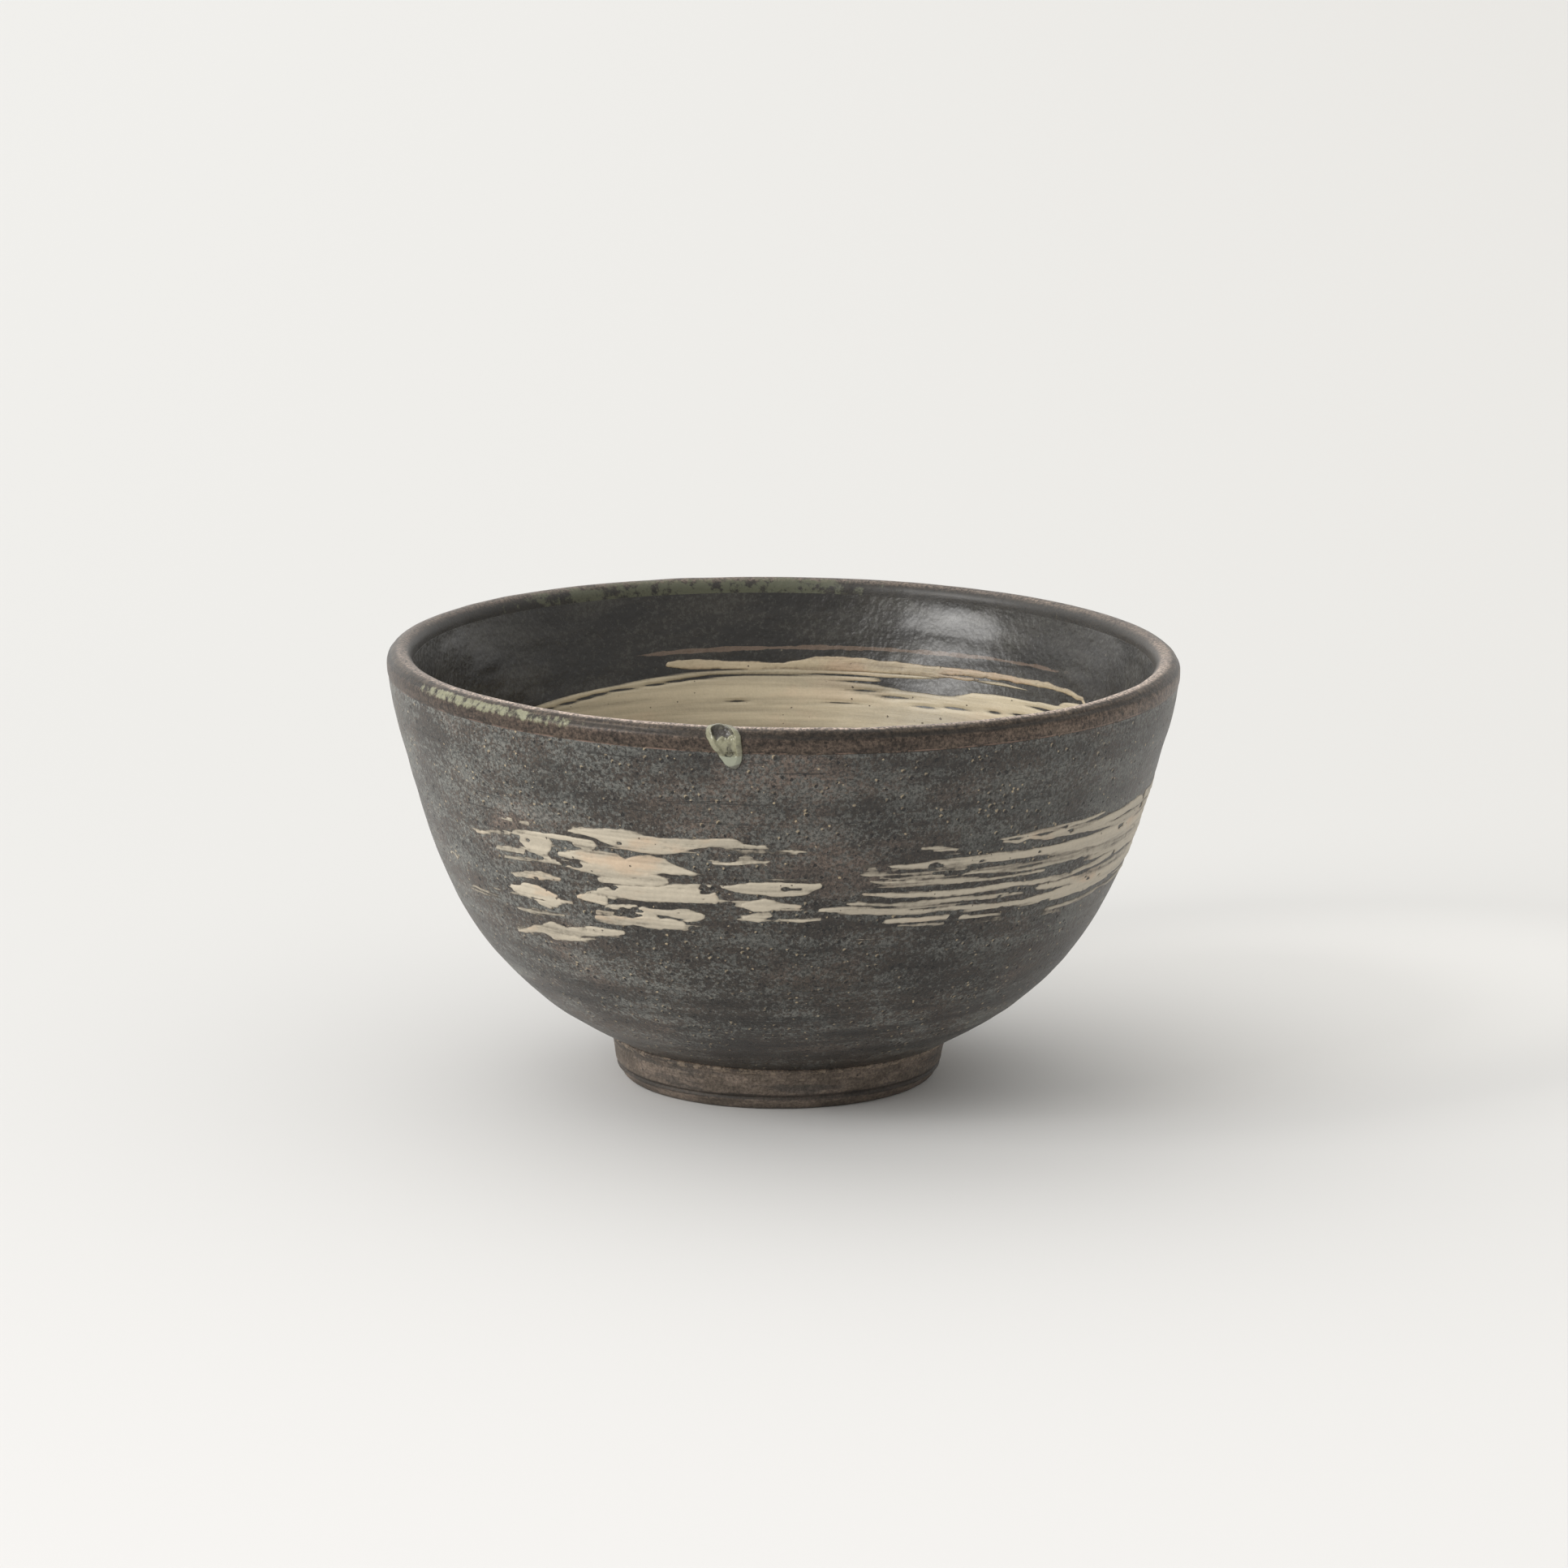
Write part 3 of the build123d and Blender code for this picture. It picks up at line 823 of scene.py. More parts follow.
def floor_finish():
    """A pale sweep of paper with painted light: brighter towards the window, near the front and far off,
    and lifted in the bowl's soft shadow as a stand-in for bounced light.
    """
    r = Recipe("studio_floor")
    spots = r.spots()
    # painted light: the paper is lighter towards the window, nearer the front and far off
    side = r.slope(r.part(spots, 0), -420, 900)
    near = r.slope(r.part(spots, 1), 300, -420)
    colour = r.blend(side, tone(211, 211, 210), tone(200, 199, 197))
    colour = r.blend(near * (1 - side) * 0.8, colour, tone(223, 222, 222))
    # painted light inside the bowl's cast shadow, standing in for light bounced into it
    lit_x, lit_y = -Vector(WINDOW_FROM[:2]).normalized()
    away = (r.towards(spots, (lit_x, lit_y, 0)) - 80) / 115
    aside = r.towards(spots, (-lit_y, lit_x, 0)) / 72
    painted_bounce_in_shadow = r.slope(away * away + aside * aside, 1.0, 0.1)
    colour = r.blend(painted_bounce_in_shadow * 0.8, colour, tone(238, 237, 235))
    far = 1 - r.near(spots, (0, 0, 0), 5000, 2000)
    colour = r.blend(far, colour, tone(222, 221, 218))
    return r.finish(colour, 0.9, Specular_IOR_Level=0.1)


def put(piece, finish, slot, *nodes):
    """Gives a piece its finish, hides the nodes it stands for, and sets it riding. slot is not used."""
    piece.data.materials.append(finish)
    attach(piece, "root")
    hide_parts(*nodes)
    return piece


# Pieces

def make_glazes():
    """The dark glaze outside, the brown band over the lip and the dark glaze inside, edge to edge."""
    joint = glazed.outside(JOINT_HEIGHT + BARE_AT_JOINT)
    band_outside = glazed.outside(BAND_LOW_OUTSIDE)
    band_inside = glazed.inside(BAND_LOW_INSIDE)
    well = glazed.end - 0.4  # short of the axis, where the fan closes it
    outer = glaze_shell("outer_glaze_coat", joint, band_outside, 176 // FINE, 540 // FINE, 2)
    put(outer, outer_glaze_finish(), "outer_glaze", "outer_glaze")
    lip = glaze_shell("lip_glaze_coat", band_outside, band_inside, 60 // FINE, 960 // FINE, 6,
                      back_rows=8, marks={"celadon": celadon_share, "back_green": back_green_share})
    put(lip, lip_finish(), "lip_glaze", "lip_glaze")
    inner = glaze_shell("inner_glaze_coat", band_inside, well, 170 // FINE, 440 // FINE, 2,
                        poled=True, marks={"line": pink_line_share})
    put(inner, inner_glaze_finish(), "inner_glaze", "inner_glaze")


def celadon_share(rise, azimuth):
    """Where pale green glaze has pooled under the crest, on the left of the lip."""
    around = ramp(azimuth, 292, 301) * ramp(-azimuth, -341, -319)
    return around * ramp(-rise, 1.0, 1.7) * ramp(rise, -3.6, -2.7)


def back_green_share(rise, azimuth):
    """Where the glaze turns green over the crest, at the back."""
    return ramp(-np.abs(azimuth - 195), -50, -15) * ramp(rise, -1.0, 1.0)


def pink_line_share(rise, azimuth):
    """A hair of pink that climbs a little as it goes round the back."""
    line = 13.6 - 0.022 * (207 - azimuth)
    around = ramp(azimuth, 118, 132) * ramp(-azimuth, -212, -200)
    return around * np.exp(-(((rise - line) / 0.42) ** 2))


# Brush strokes outside, given one by one: each is a load of slip, and the azimuth, height and half width
# along its way

PATCH_STROKES = [
    (0.30, [(-33.4, 52.0, .1), (-29.6, 52.2, .4), (-26.3, 52.0, .9), (-24, 51.7, 1.2), (-21.5, 51.3, 1.2),
            (-18, 51.2, 1.0), (-14.2, 51.7, .7), (-10.6, 52.1, .5), (-7.2, 52.4, .6), (-5, 52, .3),
            (-1.5, 51.9, .2), (2, 51.3, .25), (4, 50.7, .1)]),
    (0.16, [(-54.4, 48.0, .1), (-45.5, 49.4, .2)]),
    (0.24, [(-44, 50, .2), (-37, 50.5, .3), (-32.5, 50.5, .35), (-29.3, 50.2, .5)]),
    (0.20, [(-33, 49.7, .3), (-29.5, 49.4, .4)]),
    (0.32, [(-42.0, 49.3, .5), (-41, 48.6, 1.3), (-39, 48.8, 1.4), (-38.2, 49.0, .9)]),
    (0.22, [(-50, 46.3, .15), (-46, 46.7, .35), (-41.5, 47.0, .5), (-38.5, 47.0, .4)]),
    (0.26, [(-35.5, 47.6, .25), (-31, 48.1, .75), (-28, 47.8, 1.1), (-26, 47.6, 1.1), (-24.5, 47.4, .7)]),
    (0.34, [(-25.2, 46.9, .7), (-22.4, 47.5, 1.1), (-20.3, 47.8, 1.3), (-17.6, 47.8, 1.0),
            (-15.3, 47.3, .5), (-13, 47.0, .12)]),
    (0.20, [(-48, 45.2, .12), (-42.6, 45.6, .2), (-38.2, 46.0, .2), (-34, 46.0, .25), (-28.5, 45.8, .25)]),
    (0.26, [(-36, 46.1, .25), (-32, 46.0, .6), (-28, 45.8, .8), (-22, 46.1, .5)]),
    (0.30, [(-29.2, 44.3, .4), (-24.5, 44.9, .8), (-20.5, 45.3, .75), (-17.8, 45.3, .3)]),
    (0.32, [(-29.7, 42.3, .25), (-27.3, 42.2, .8), (-22.3, 42.7, 1.0), (-16.3, 43.2, 1.1),
            (-12.4, 43.4, 1.2), (-11.2, 42.9, .8)]),
    (0.28, [(-12.8, 44.6, .15), (-8.6, 44.7, .2), (-5.3, 44.8, .6), (-.4, 44.6, .9), (3.3, 44.8, .7),
            (5.6, 45.3, .2)]),
    (0.30, [(-33.5, 40.4, .15), (-31.5, 40.8, .7), (-29.6, 41.0, .9)]),
    (0.24, [(-47.2, 42.3, .2), (-44, 42.8, .45), (-40, 43.1, .5), (-36.6, 43.0, .15)]),
    (0.32, [(-48, 39.6, .4), (-45.3, 40.0, .8), (-42.4, 39.7, 1.2), (-39.2, 39.0, .8), (-38, 39.0, .4)]),
    (0.18, [(-42.5, 38.2, .4), (-40.3, 37.6, .2)]),
    (0.16, [(-38, 39.0, .2), (-35, 39.2, .15)]),
    (0.20, [(-48, 35.9, .12), (-43.5, 36.3, .25), (-38, 36.6, .12)]),
    (0.30, [(-29, 39.7, .12), (-26, 39.8, .4), (-23.5, 39.4, .8), (-21.5, 38.5, 1.2), (-20.4, 37.7, 1.0)]),
    (0.34, [(-21, 39.6, .25), (-17.8, 39.7, .4), (-14.7, 39.6, .8), (-12.8, 39.5, .5)]),
    (0.28, [(-30.4, 37.0, .4), (-27.5, 37.2, .6), (-24.7, 37.5, .5), (-21.4, 37.2, .6)]),
    (0.28, [(-19.9, 37.5, .55), (-17.4, 37.8, .6), (-15.5, 37.8, .45)]),
    (0.20, [(-30.3, 38.2, .3), (-28, 38.4, .28)]),
    (0.28, [(-51, 31.6, .12), (-47, 32.4, .3), (-43.5, 33.2, .6), (-41, 33.4, 1.3), (-38.6, 33.4, .8),
            (-34.7, 34.2, .7), (-30, 34.9, .5), (-26.5, 35.1, .3)]),
    (0.20, [(-41, 32.1, .3), (-36.5, 32.6, .2), (-32.6, 33.2, .12)]),
    (0.28, [(-6.5, 41.8, .2), (-4.2, 41.7, .7), (-2, 42.0, .85), (.3, 41.9, .4), (2.7, 41.7, .15)]),
    (0.22, [(-6, 39.6, .15), (-3.8, 39.8, .55), (-2.2, 40.2, .3)]),
    (0.20, [(-.4, 39.6, .1), (3.4, 39.3, .2), (6.6, 39.4, .15)]),
    (0.20, [(6.4, 41.2, .2), (8.6, 41.3, .3)]),
    (0.22, [(-10.8, 48.8, .12), (-7, 49.1, .2), (-4.2, 49.4, .15), (-2, 49.3, .1)]),
    (0.20, [(-46.3, 51.8, .2), (-44, 51.8, .25)]),
    (0.18, [(-42.2, 51.8, .2), (-40.8, 51.8, .28)]),
    (0.12, [(-62.5, 37.0, .1), (-52.3, 37.6, .14)]),
    (0.12, [(-66, 41.5, .3), (-64.5, 41.4, .3)]),
]

SWEEP_STROKES = [
    (0.24, [(20.6, 51.0, .1), (23.3, 50.9, .25), (25.7, 50.6, .2), (26.8, 50.4, .1)]),
    (0.32, [(34.6, 50.7, .1), (37.6, 50.3, .3), (40, 50.8, .2), (43.7, 50.1, .25), (46.7, 50.4, .5),
            (51, 49.9, .3), (58.4, 50.3, .5), (64, 50.7, .6), (72, 50.8, .7), (82, 50.9, .8),
            (96, 51.4, .8), (112, 52.0, .6), (126, 52.4, .3)]),
    (0.26, [(48.6, 51.1, .15), (52.6, 51.6, .2), (57.5, 51.9, .12)]),
    (0.30, [(48.9, 49.9, .2), (56.2, 49.4, .35), (63, 49.2, .4), (72, 49.2, .45), (84, 49.3, .5),
            (100, 49.8, .5), (118, 50.4, .3)]),
    (0.30, [(13.2, 48.0, .1), (18.5, 48.1, .2), (24.3, 48.4, .5), (29.8, 48.3, .5), (35.3, 48.1, .55),
            (40.6, 47.8, .55), (45.7, 47.8, .6), (51.4, 47.6, .7), (57, 47.4, .9), (64, 47.6, 1.0),
            (76, 47.8, 1.0), (92, 48.1, .9), (110, 48.6, .7), (124, 49.0, .3)]),
    (0.22, [(15, 46.3, .1), (22.4, 46.2, .12), (30.3, 46.2, .14), (35.8, 45.6, .25), (41.7, 45.2, .25),
            (48.2, 45.5, .35), (54, 45.6, .5), (60, 45.7, .8), (70, 45.8, .9), (86, 46.2, .8),
            (104, 46.8, .6)]),
    (0.22, [(13.4, 45.8, .12), (17.3, 45.4, .3), (23, 45.1, .25), (28, 44.9, .3), (33, 44.6, .25),
            (39, 44.4, .2), (45, 44.3, .15)]),
    (0.28, [(13.1, 43.8, .12), (16.5, 43.3, .35), (21.3, 43.0, .3), (26.8, 42.8, .35), (33.6, 43.0, .3),
            (40, 42.8, .28), (47.5, 42.3, .3), (56.4, 42.7, .4), (66, 43.2, .5), (78, 43.8, .7),
            (94, 44.4, .7), (112, 45.0, .5), (128, 45.4, .2)]),
    (0.24, [(10, 42.0, .1), (15.5, 41.7, .2), (20.8, 41.6, .25), (25.3, 41.6, .3), (31, 41.4, .3),
            (37.8, 41.1, .25), (41.5, 40.9, .12)]),
    (0.32, [(6.2, 41.1, .1), (8.5, 41.1, .35), (11.4, 40.9, .5), (15.7, 40.5, .5), (20.2, 40.2, .4),
            (25.8, 40.0, .35), (31.3, 39.8, .3), (37.8, 39.6, .3), (44, 39.4, .4), (48.5, 39.2, .7),
            (55, 39.3, 1.0), (64, 39.8, 1.1), (76, 40.4, .9), (92, 41.0, .8), (108, 41.8, .5)]),
    (0.22, [(16.6, 38.8, .25), (19.8, 38.8, .35), (24.5, 38.6, .25), (28, 38.6, .15), (32, 38.0, .15),
            (38.2, 37.7, .12)]),
    (0.20, [(19, 37.8, .15), (22.7, 37.6, .25), (26.5, 37.5, .12)]),
    (0.22, [(49, 37.0, .15), (54.6, 37.0, .25), (61, 37.2, .25), (70, 37.3, .2), (82, 38.0, .2)]),
    (0.24, [(44.5, 41.2, .3), (50, 41.0, .5), (57, 41.0, .6), (66, 41.4, .6), (80, 42.2, .6),
            (98, 43.0, .4)]),
    (0.22, [(57, 44.2, .3), (64, 44.5, .6), (74, 44.8, .7), (90, 45.4, .6), (108, 46.0, .3)]),
    (0.16, [(9.2, 43.9, .08), (12.4, 43.9, .1)]),
]


def brush_outside(name, node, strokes, middle, half_span, heights, step, seed, fuller, finish):
    """Slip brushed on the outside: full strokes, loose dry hairs about them, and bare chips."""
    across = np.arange(-half_span, half_span, step)
    along = np.arange(glazed.outside(heights[0]), glazed.outside(heights[1]), step)
    coat = lay(strokes, across, along, middle, glazed.outside, seed, 0.30, fuller)
    spots = np.stack([*np.meshgrid(across, along), np.zeros((len(along), len(across)))], -1)
    hairs = brush_hairs(spots, seed + 5)
    chips = crumbs(spots, 0.9, seed + 7)
    bare = ramp(crumbs(spots * (0.35, 1, 1), 1.6, seed + 8), 0.85, 1.25)
    loose = 0.16 * np.minimum(coat, 0) + 0.30 * (hairs - 0.22) + 0.03 * chips
    coat = np.maximum(coat + 0.11 * hairs + 0.03 * chips, np.minimum(loose, 0.08)) - 0.4 * bare
    piece = shell_on_glaze(name, across, along, np.minimum(coat, FULLEST), middle)
    put(piece, finish, "slip", node)


def make_outside_slip():
    """The broken patch left of the front, and the combed sweep that rises round the right side."""
    brush_outside("slip_patch_brushed", "slip_patch", PATCH_STROKES, -29.0, 42, (30.5, 54),
                  0.17 * FINE, 21, 1.4,
                  slip_finish("slip_patch_cream", tone(192, 182, 163), tone(202, 174, 145),
                              tone(118, 110, 97)))
    brush_outside("slip_sweep_brushed", "slip_sweep", SWEEP_STROKES, 66.0, 66, (35.5, 54),
                  0.22 * FINE, 41, 1.15,
                  slip_finish("slip_sweep_cream", tone(188, 178, 160), tone(196, 170, 144),
                              tone(112, 104, 92), blush_over=0.58))


def make_whirl():
    """The whirl's coat over its grid. It covers the floor and lower wall in rings. Dark hairs of glaze
    show between its rings near the upper edge, and a broad gap where the brush lifted at the back."""
    columns, rows = 900 // FINE, 150 // FINE
    azimuth = np.arange(columns) * 360 / columns
    upper, lower = glazed.inside(57.6), glazed.end - 1.2
    along = upper + (lower - upper) * np.linspace(0, 1, rows) ** 1.25  # finer by the upper edge
    grid_along, grid_azimuth = np.meshgrid(along, azimuth, indexing="ij")
    radius, height, _, _ = glazed.at(grid_along)
    spots = on_wheel(radius, height, grid_azimuth)
    drawn, less_drawn = spots * (0.10, 0.10, 1.0), spots * (0.20, 0.20, 1.0)
    broad = drawn * (0.7, 0.7, 1.0)
    rings = 0.07 * lumps(drawn, 3.0, 62) + 0.04 * lumps(less_drawn, 1.2, 63)
    round_left = ramp(grid_azimuth, 180, 240) * ramp(-grid_azimuth, -358, -280)
    round_right = ramp(-grid_azimuth, -165, -125) * ramp(grid_azimuth, 2, 80)
    top = 56.6 - 3.8 * round_left + 1.2 * round_right
    depth = top - height + 0.35 * crumbs(spots * (0.08, 0.08, 1), 3, 64)
    coat = np.minimum(depth / 2.5, 0.17) + 0.35 * rings
    for at, wide, seed in ((0.9, 0.16, 65), (2.0, 0.20, 66), (3.4, 0.12, 67), (5.2, 0.10, 68)):
        hair = np.exp(-(((depth - at - 0.25 * lumps(drawn, 6, seed)) / wide) ** 2))
        coat = coat - 0.30 * hair * ramp(lumps(spots, 26, seed + 10), -0.6, 0.1)
    gap_middle = 52.6 + 0.088 * (175 - grid_azimuth)
    around = ramp(-grid_azimuth, -190, -164) * ramp(grid_azimuth, 92, 120)
    streaked = ramp(lumps(broad, 0.9, 69) + 0.5 * lumps(broad, 2.0, 70), -0.45, 0.1)
    gap = around * np.exp(-(((height - gap_middle) / 1.8) ** 2)) * (0.25 + 0.75 * streaked)
    coat = coat - 0.36 * ramp(gap, 0.25, 0.7)
    return coat, azimuth, along


def wrap_shell(name, azimuth, along, coat):
    """A coat over the glaze that goes all the way round."""
    closed = np.concatenate([coat, coat[:, :1]], 1)
    across = np.radians(np.append(azimuth, 360.0) - 180.0) * MIDDLE_RADIUS
    return shell_on_glaze(name, across, along, closed, 180.0, wrapped=True)


def make_inside_slip():
    """The whirl, and the separate stroke above it with a thin one beside it."""
    coat, azimuth, along = make_whirl()
    whirl = wrap_shell("slip_whirl_brushed", azimuth, along, np.minimum(coat, FULLEST))
    put(whirl, slip_finish("whirl_cream", tone(190, 178, 153), tone(195, 177, 152), tone(120, 111, 92),
                           0.4, hair=0.8, streaks=0.34), "inner_slip", "slip_whirl")
    strokes = [
        (0.24, [(200.1, 57.5, .25), (196, 57.3, .6), (184.7, 56.9, .4), (180, 57.0, .25), (174.1, 57.5, .7),
                (166, 57.4, .8), (155.8, 57.5, .5), (147, 57.9, .4), (139.2, 58.0, .35), (130, 58.2, .3),
                (123.3, 58.2, .25), (118.3, 57.7, .2), (117.4, 57.2, .15)]),
        (0.16, [(186, 56.2, .15), (172, 56.4, .2), (158, 56.6, .15), (144, 57.0, .1)]),
    ]
    step = 0.2 * FINE
    across = np.arange(-52, 52, step)
    along = np.arange(glazed.inside(60.5), glazed.inside(55.3), step)
    coat = lay(strokes, across, along, 160.0, glazed.inside, 71, 0.25)
    spots = np.stack([*np.meshgrid(across, along), np.zeros((len(along), len(across)))], -1)
    coat = coat + 0.04 * brush_hairs(spots, 75) + 0.02 * crumbs(spots, 0.9, 77)
    stroke = shell_on_glaze("slip_stroke_brushed", across, along, np.minimum(coat, FULLEST), 160.0)
    put(stroke, slip_finish("stroke_cream", tone(182, 168, 142), tone(190, 162, 136),
                            tone(128, 112, 92), 0.4), "inner_slip", "slip_stroke")


def within(u, v, corners):
    """Distance inside a closed outline, negative outside it."""
    nearest = np.full(u.shape, 1e9)
    crossings = np.zeros(u.shape, int)
    for (u0, v0), (u1, v1) in zip(corners, corners[1:] + corners[:1]):
        du, dv = u1 - u0, v1 - v0
        share = np.clip(((u - u0) * du + (v - v0) * dv) / (du * du + dv * dv), 0, 1)
        nearest = np.minimum(nearest, np.hypot(u - u0 - share * du, v - v0 - share * dv))
        crossings += ((v0 > v) != (v1 > v)) & (u < u0 + (v - v0) * du / (dv if dv else 1e-9))
    return np.where(crossings % 2 == 1, nearest, -nearest)


def make_bead():
    """A run of pale glaze: a welt thick at its rim and in the pool at its lower end, drawn to the
    right as it ran, with a burnt hollow at the top and a small hooked crack."""
    step = 0.07 * FINE
    across = np.arange(-3.9, 3.9, step)
    along = np.arange(CREST - 8.5, CREST + 1.6, step)
    u, v = np.meshgrid(across, along - CREST)
    v = 0.97 * (v + 3.75)  # from the bead's middle
    spots = np.stack([u, v, np.zeros_like(u)], -1)
    u = u + 0.10 * crumbs(spots, 2.0, 81)
    v = v + 0.10 * crumbs(spots, 2.0, 83)
    edge = within(u, v, [
        (-3.1, 2.2), (-2.9, 2.9), (-2.3, 3.3), (-1.2, 3.5), (0.0, 3.4), (1.0, 3.1), (1.9, 2.4),
        (2.4, 1.5), (2.7, 0.5), (2.75, -0.8), (2.6, -2.2), (2.2, -3.3), (1.6, -3.8),
        (0.9, -3.6), (0.1, -2.9), (-0.8, -1.8), (-1.7, -0.5), (-2.6, 0.9), (-3.0, 1.6)])
    burnt = within(u, v, [
        (-2.2, 2.3), (-1.7, 2.8), (-0.4, 2.8), (0.8, 2.3), (1.3, 1.6), (0.4, 1.1), (-0.5, 1.3),
        (-1.1, 0.7), (-1.9, 1.5)])
    hook = within(u, v, [
        (0.5, -0.2), (0.9, -0.15), (1.25, -1.2), (0.9, -1.55), (0.2, -1.4), (0.55, -1.0)])
    pool = ramp(-v, 1.3, 1.6)
    crown = 0.80 - 0.42 * ramp(edge, 0.75, 1.25) * (1 - pool) - 0.22 * ramp(burnt, -0.1, 0.35)
    crown = crown + 0.09 * crumbs(spots, 0.9, 85) * (1 - pool)
    rounded = np.minimum(np.sqrt(np.maximum(edge, 0) / 0.85), 1.0)
    coat = np.where(edge < 0, edge * 2.0, rounded * crown)
    soot = 0.95 * ramp(burnt, -0.15, 0.25) + 0.8 * np.exp(-((hook / 0.13) ** 2))
    inner_ring = np.exp(-(((edge - 0.95) / 0.17) ** 2))
    soot = soot + 0.6 * inner_ring * (1 - pool) * ramp(v, -1.2, 0.4)
    soot = soot + 0.55 * np.exp(-(((u + 0.35) / 0.4) ** 2 + ((v - 0.6) / 0.45) ** 2))
    soot = soot + 0.5 * np.exp(-(((u - 0.35) / 0.3) ** 2 + ((v - 1.2) / 0.6) ** 2))
    # painted shade: the strip below the pool, at the bead's lower end, is marked for darkening where shade
    # falls under the welt
    painted_shade_under_pool = ramp(-v + 0.25 * u, 3.1, 3.4)
    bead = shell_on_glaze("pale_glaze_bead", across, along, coat, BEAD_AZIMUTH,
                          numbers={"soot": soot, "pool": pool, "painted_shade_under_pool": painted_shade_under_pool})
    put(bead, bead_finish(), "pale_glaze", "lip_drop")


def make_foot():
    """The foot ring: a scored, rounded ring, with the clay squeezed out and broken along the joint."""
    pen = Pen(FOOT_HOLLOW_RADIUS, FOOT_TOP, 270.0)
    pen.go(FOOT_TOP - FOOT_EDGE_RADIUS)
    pen.arc(FOOT_EDGE_RADIUS, 90.0)
    pen.go(FOOT_TREAD)
    pen.arc(FOOT_EDGE_RADIUS, FOOT_SIDE_TURN)
    # up the side: down into the groove and out of it, up to the joint and back over the top
    for radius, height in ((26.86, 1.8), (26.50, 2.2), (26.98, 2.62), (27.55, 5.9), (27.75, 6.6),
                           (27.78, 7.3), (27.0, 7.35), (FOOT_HOLLOW_RADIUS, FOOT_TOP)):
        pen.line_to(radius, height)
    line = np.array(pen.points)[:-1][::5]
    columns = 720 // FINE
    azimuth = np.arange(columns) * 360 / columns
    grid_radius, grid_azimuth = np.meshgrid(line[:, 0], azimuth, indexing="ij")
    grid_height = np.repeat(line[:, 1][:, None], columns, 1)
    spots = on_wheel(grid_radius, grid_height, grid_azimuth)
    outer = ramp(grid_radius, 24.5, 26.0)
    rough = (0.05 * lumps(spots, 5, 91) + 0.05 * lumps(spots * (0.2, 0.2, 1), 1.5, 92)
             + 0.03 * crumbs(spots, 0.9, 93))
    torn = crumbs(spots * (0.5, 0.5, 1.0), 1.6, 94)
    ridge_at = 6.85 + 0.12 * lumps(spots, 7, 95) + 0.10 * lumps(spots, 1.8, 98)
    ridge = np.exp(-((grid_height - ridge_at) / 0.26) ** 2) * ramp(torn, -1.2, 0.4)
    score_at = 5.5 + 0.2 * lumps(spots, 9, 97)
    score = np.exp(-((grid_height - score_at) / 0.2) ** 2) * ramp(lumps(spots, 7, 96), -0.1, 0.6)
    grid_radius = grid_radius + outer * (rough + 0.42 * ridge + 0.12 * score)
    # the top follows the lean of the wall that it was luted to
    tilt = 1 - grid_radius * np.sin(np.radians(grid_azimuth)) * math.tan(LEAN) / JOINT_HEIGHT
    grid_height = grid_height * (1 + (tilt - 1) * ramp(grid_height, 2.5, 7.0))
    rows = stand(grid_radius, grid_height, grid_azimuth, leaning=False)
    shares = np.linspace(0, 0.99, len(line))
    ring = turn_rows("foot_ring_luted", rows, shares, 4, {"outer": outer.ravel()})
    put(ring, foot_finish(), "foot_clay", "foot_ring")


def make_clay():
    """The thrown wall itself: bare under the foot, hidden by its glazes elsewhere. Under the foot it
    has the spiral of the turning tool and a small nub in the middle."""
    nearest, pitch = 0.5, 2.1
    pen = Pen(nearest, JOINT_HEIGHT, 0.0)
    pen.go(BED_RADIUS - nearest)
    bed = np.array(pen.points)[::8]
    wall = clay_line[4:-8:16]
    line = np.vstack([bed, wall])
    columns = 300 // FINE
    azimuth = np.arange(columns) * 360 / columns
    radius, turn = np.meshgrid(line[:, 0], azimuth, indexing="ij")
    height = np.repeat(line[:, 1][:, None], columns, 1)
    under = np.zeros_like(radius)
    under[: len(bed)] = 1 - ramp(radius[: len(bed)], 20.0, 22.5)
    wind = radius + pitch * turn / 360
    marks = 0.10 * np.sin(2 * np.pi * wind / pitch) * ramp(radius, 1.5, 4.0)
    nub = -0.5 * np.exp(-((radius / 2.4) ** 2))
    height = height + under * (marks + nub + 0.5)
    rows = stand(radius, height, turn)
    shares = np.linspace(0, 0.995, len(line))
    thrown = turn_rows("clay_wall_thrown", rows, shares, looped=False)
    put(thrown, clay_finish(), "clay", "clay_wall")


make_glazes()
make_outside_slip()
make_inside_slip()
make_bead()
make_foot()
make_clay()


# Studio


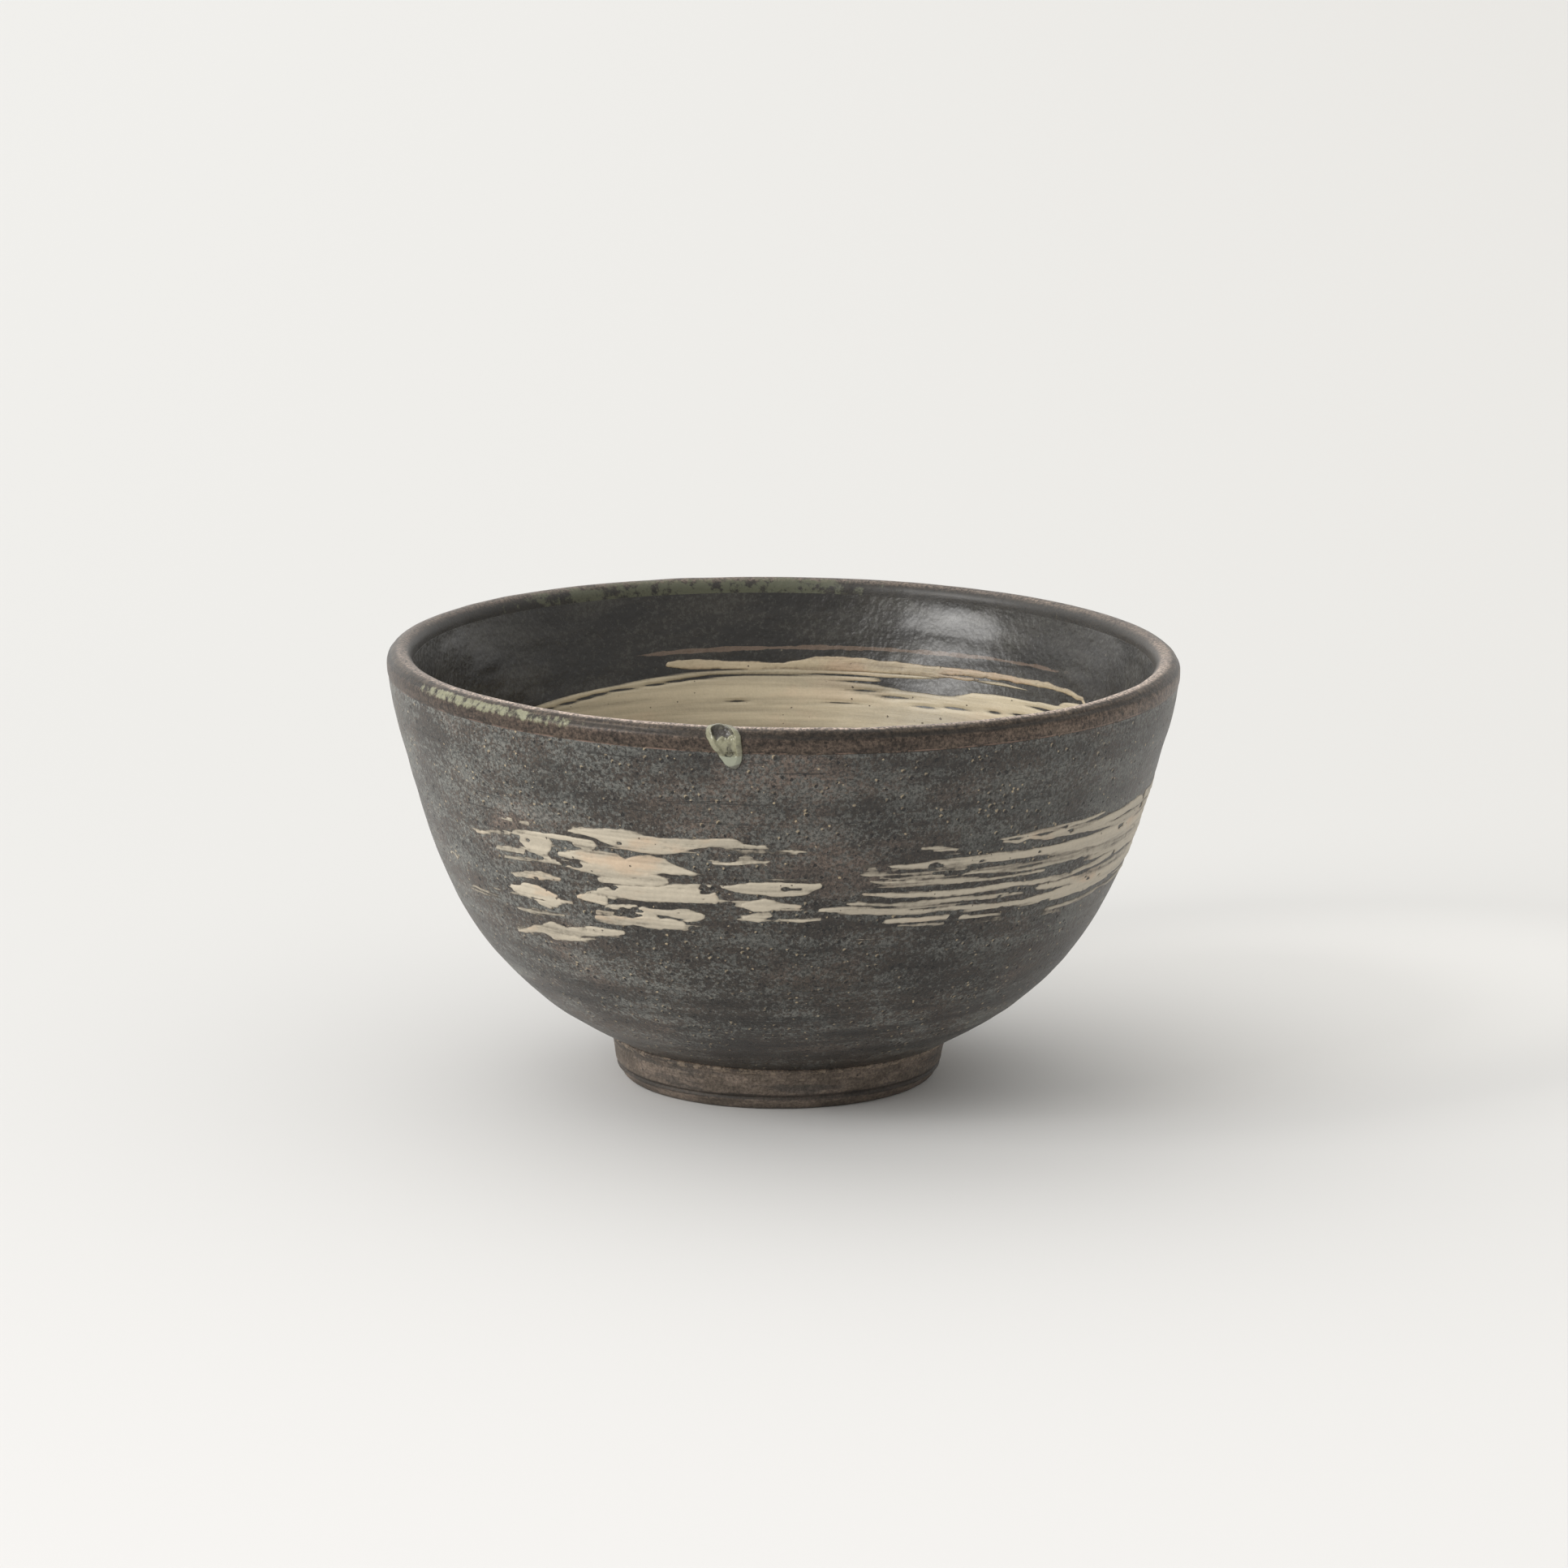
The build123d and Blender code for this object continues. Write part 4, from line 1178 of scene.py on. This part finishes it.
def make_floor():
    bpy.ops.mesh.primitive_grid_add(x_subdivisions=8, y_subdivisions=8, size=FLOOR_SIZE)
    floor = bpy.context.object
    floor.name = "floor"
    floor.location.z = cad_box[0][2] - FLOOR_GAP
    floor.data.materials.append(floor_finish())


def aim(holder, target):
    """Turns a light or the camera to face a point."""
    direction = Vector(target) - holder.location
    holder.rotation_euler = direction.to_track_quat("-Z", "Y").to_euler()


def make_window(name, from_where, strength, spread, colour):
    """Soft daylight from a broad window a long way off."""
    light = bpy.data.lights.new(name, "SUN")
    light.energy, light.angle, light.color = strength, math.radians(spread), colour
    holder = bpy.data.objects.new(name, light)
    holder.location = from_where
    aim(holder, (0, 0, 0))
    bpy.context.scene.collection.objects.link(holder)


def make_air():
    """The studio's pale walls, as a world that is brighter to the left, behind and overhead."""
    r = Recipe("studio_air", bpy.data.worlds.new("studio_air"))
    away = r.node("TexCoord")
    leftward = r.slope(r.towards(away, (-0.95, 0.2, 0.1)), -0.2, 0.95)
    behind = r.slope(r.part(away, 1), -0.1, 0.9)
    overhead = r.slope(r.part(away, 2), 0.25, 0.95)
    strength = 0.54 + leftward * 0.45 + behind * 0.28 + overhead * 0.28
    air = r.node("Background", None, {0: (1.0, 0.99, 0.965, 1.0), 1: strength})
    r.end(air, "ShaderNodeOutputWorld")
    bpy.context.scene.world = r.material


def make_camera():
    data = bpy.data.cameras.new("camera")
    data.lens, data.sensor_width = CAMERA_LENS, CAMERA_SENSOR
    camera = bpy.data.objects.new("camera", data)
    back, up = CAMERA_DISTANCE * math.cos(CAMERA_RISE), CAMERA_DISTANCE * math.sin(CAMERA_RISE)
    camera.location = (0, -back, CAMERA_AIM + up)
    aim(camera, (0, 0, CAMERA_AIM))
    bpy.context.scene.collection.objects.link(camera)
    bpy.context.scene.camera = camera
    bpy.context.scene.view_settings.view_transform = "Standard"


make_floor()
make_air()
make_window("window", WINDOW_FROM, 1.55, 36.0, WINDOW_COLOUR)
make_window("window_middle", WINDOW_FROM, 0.24, 11.0, WINDOW_COLOUR)
make_window("skylight", SKYLIGHT_FROM, 0.4, 60.0, SKYLIGHT_COLOUR)
make_camera()
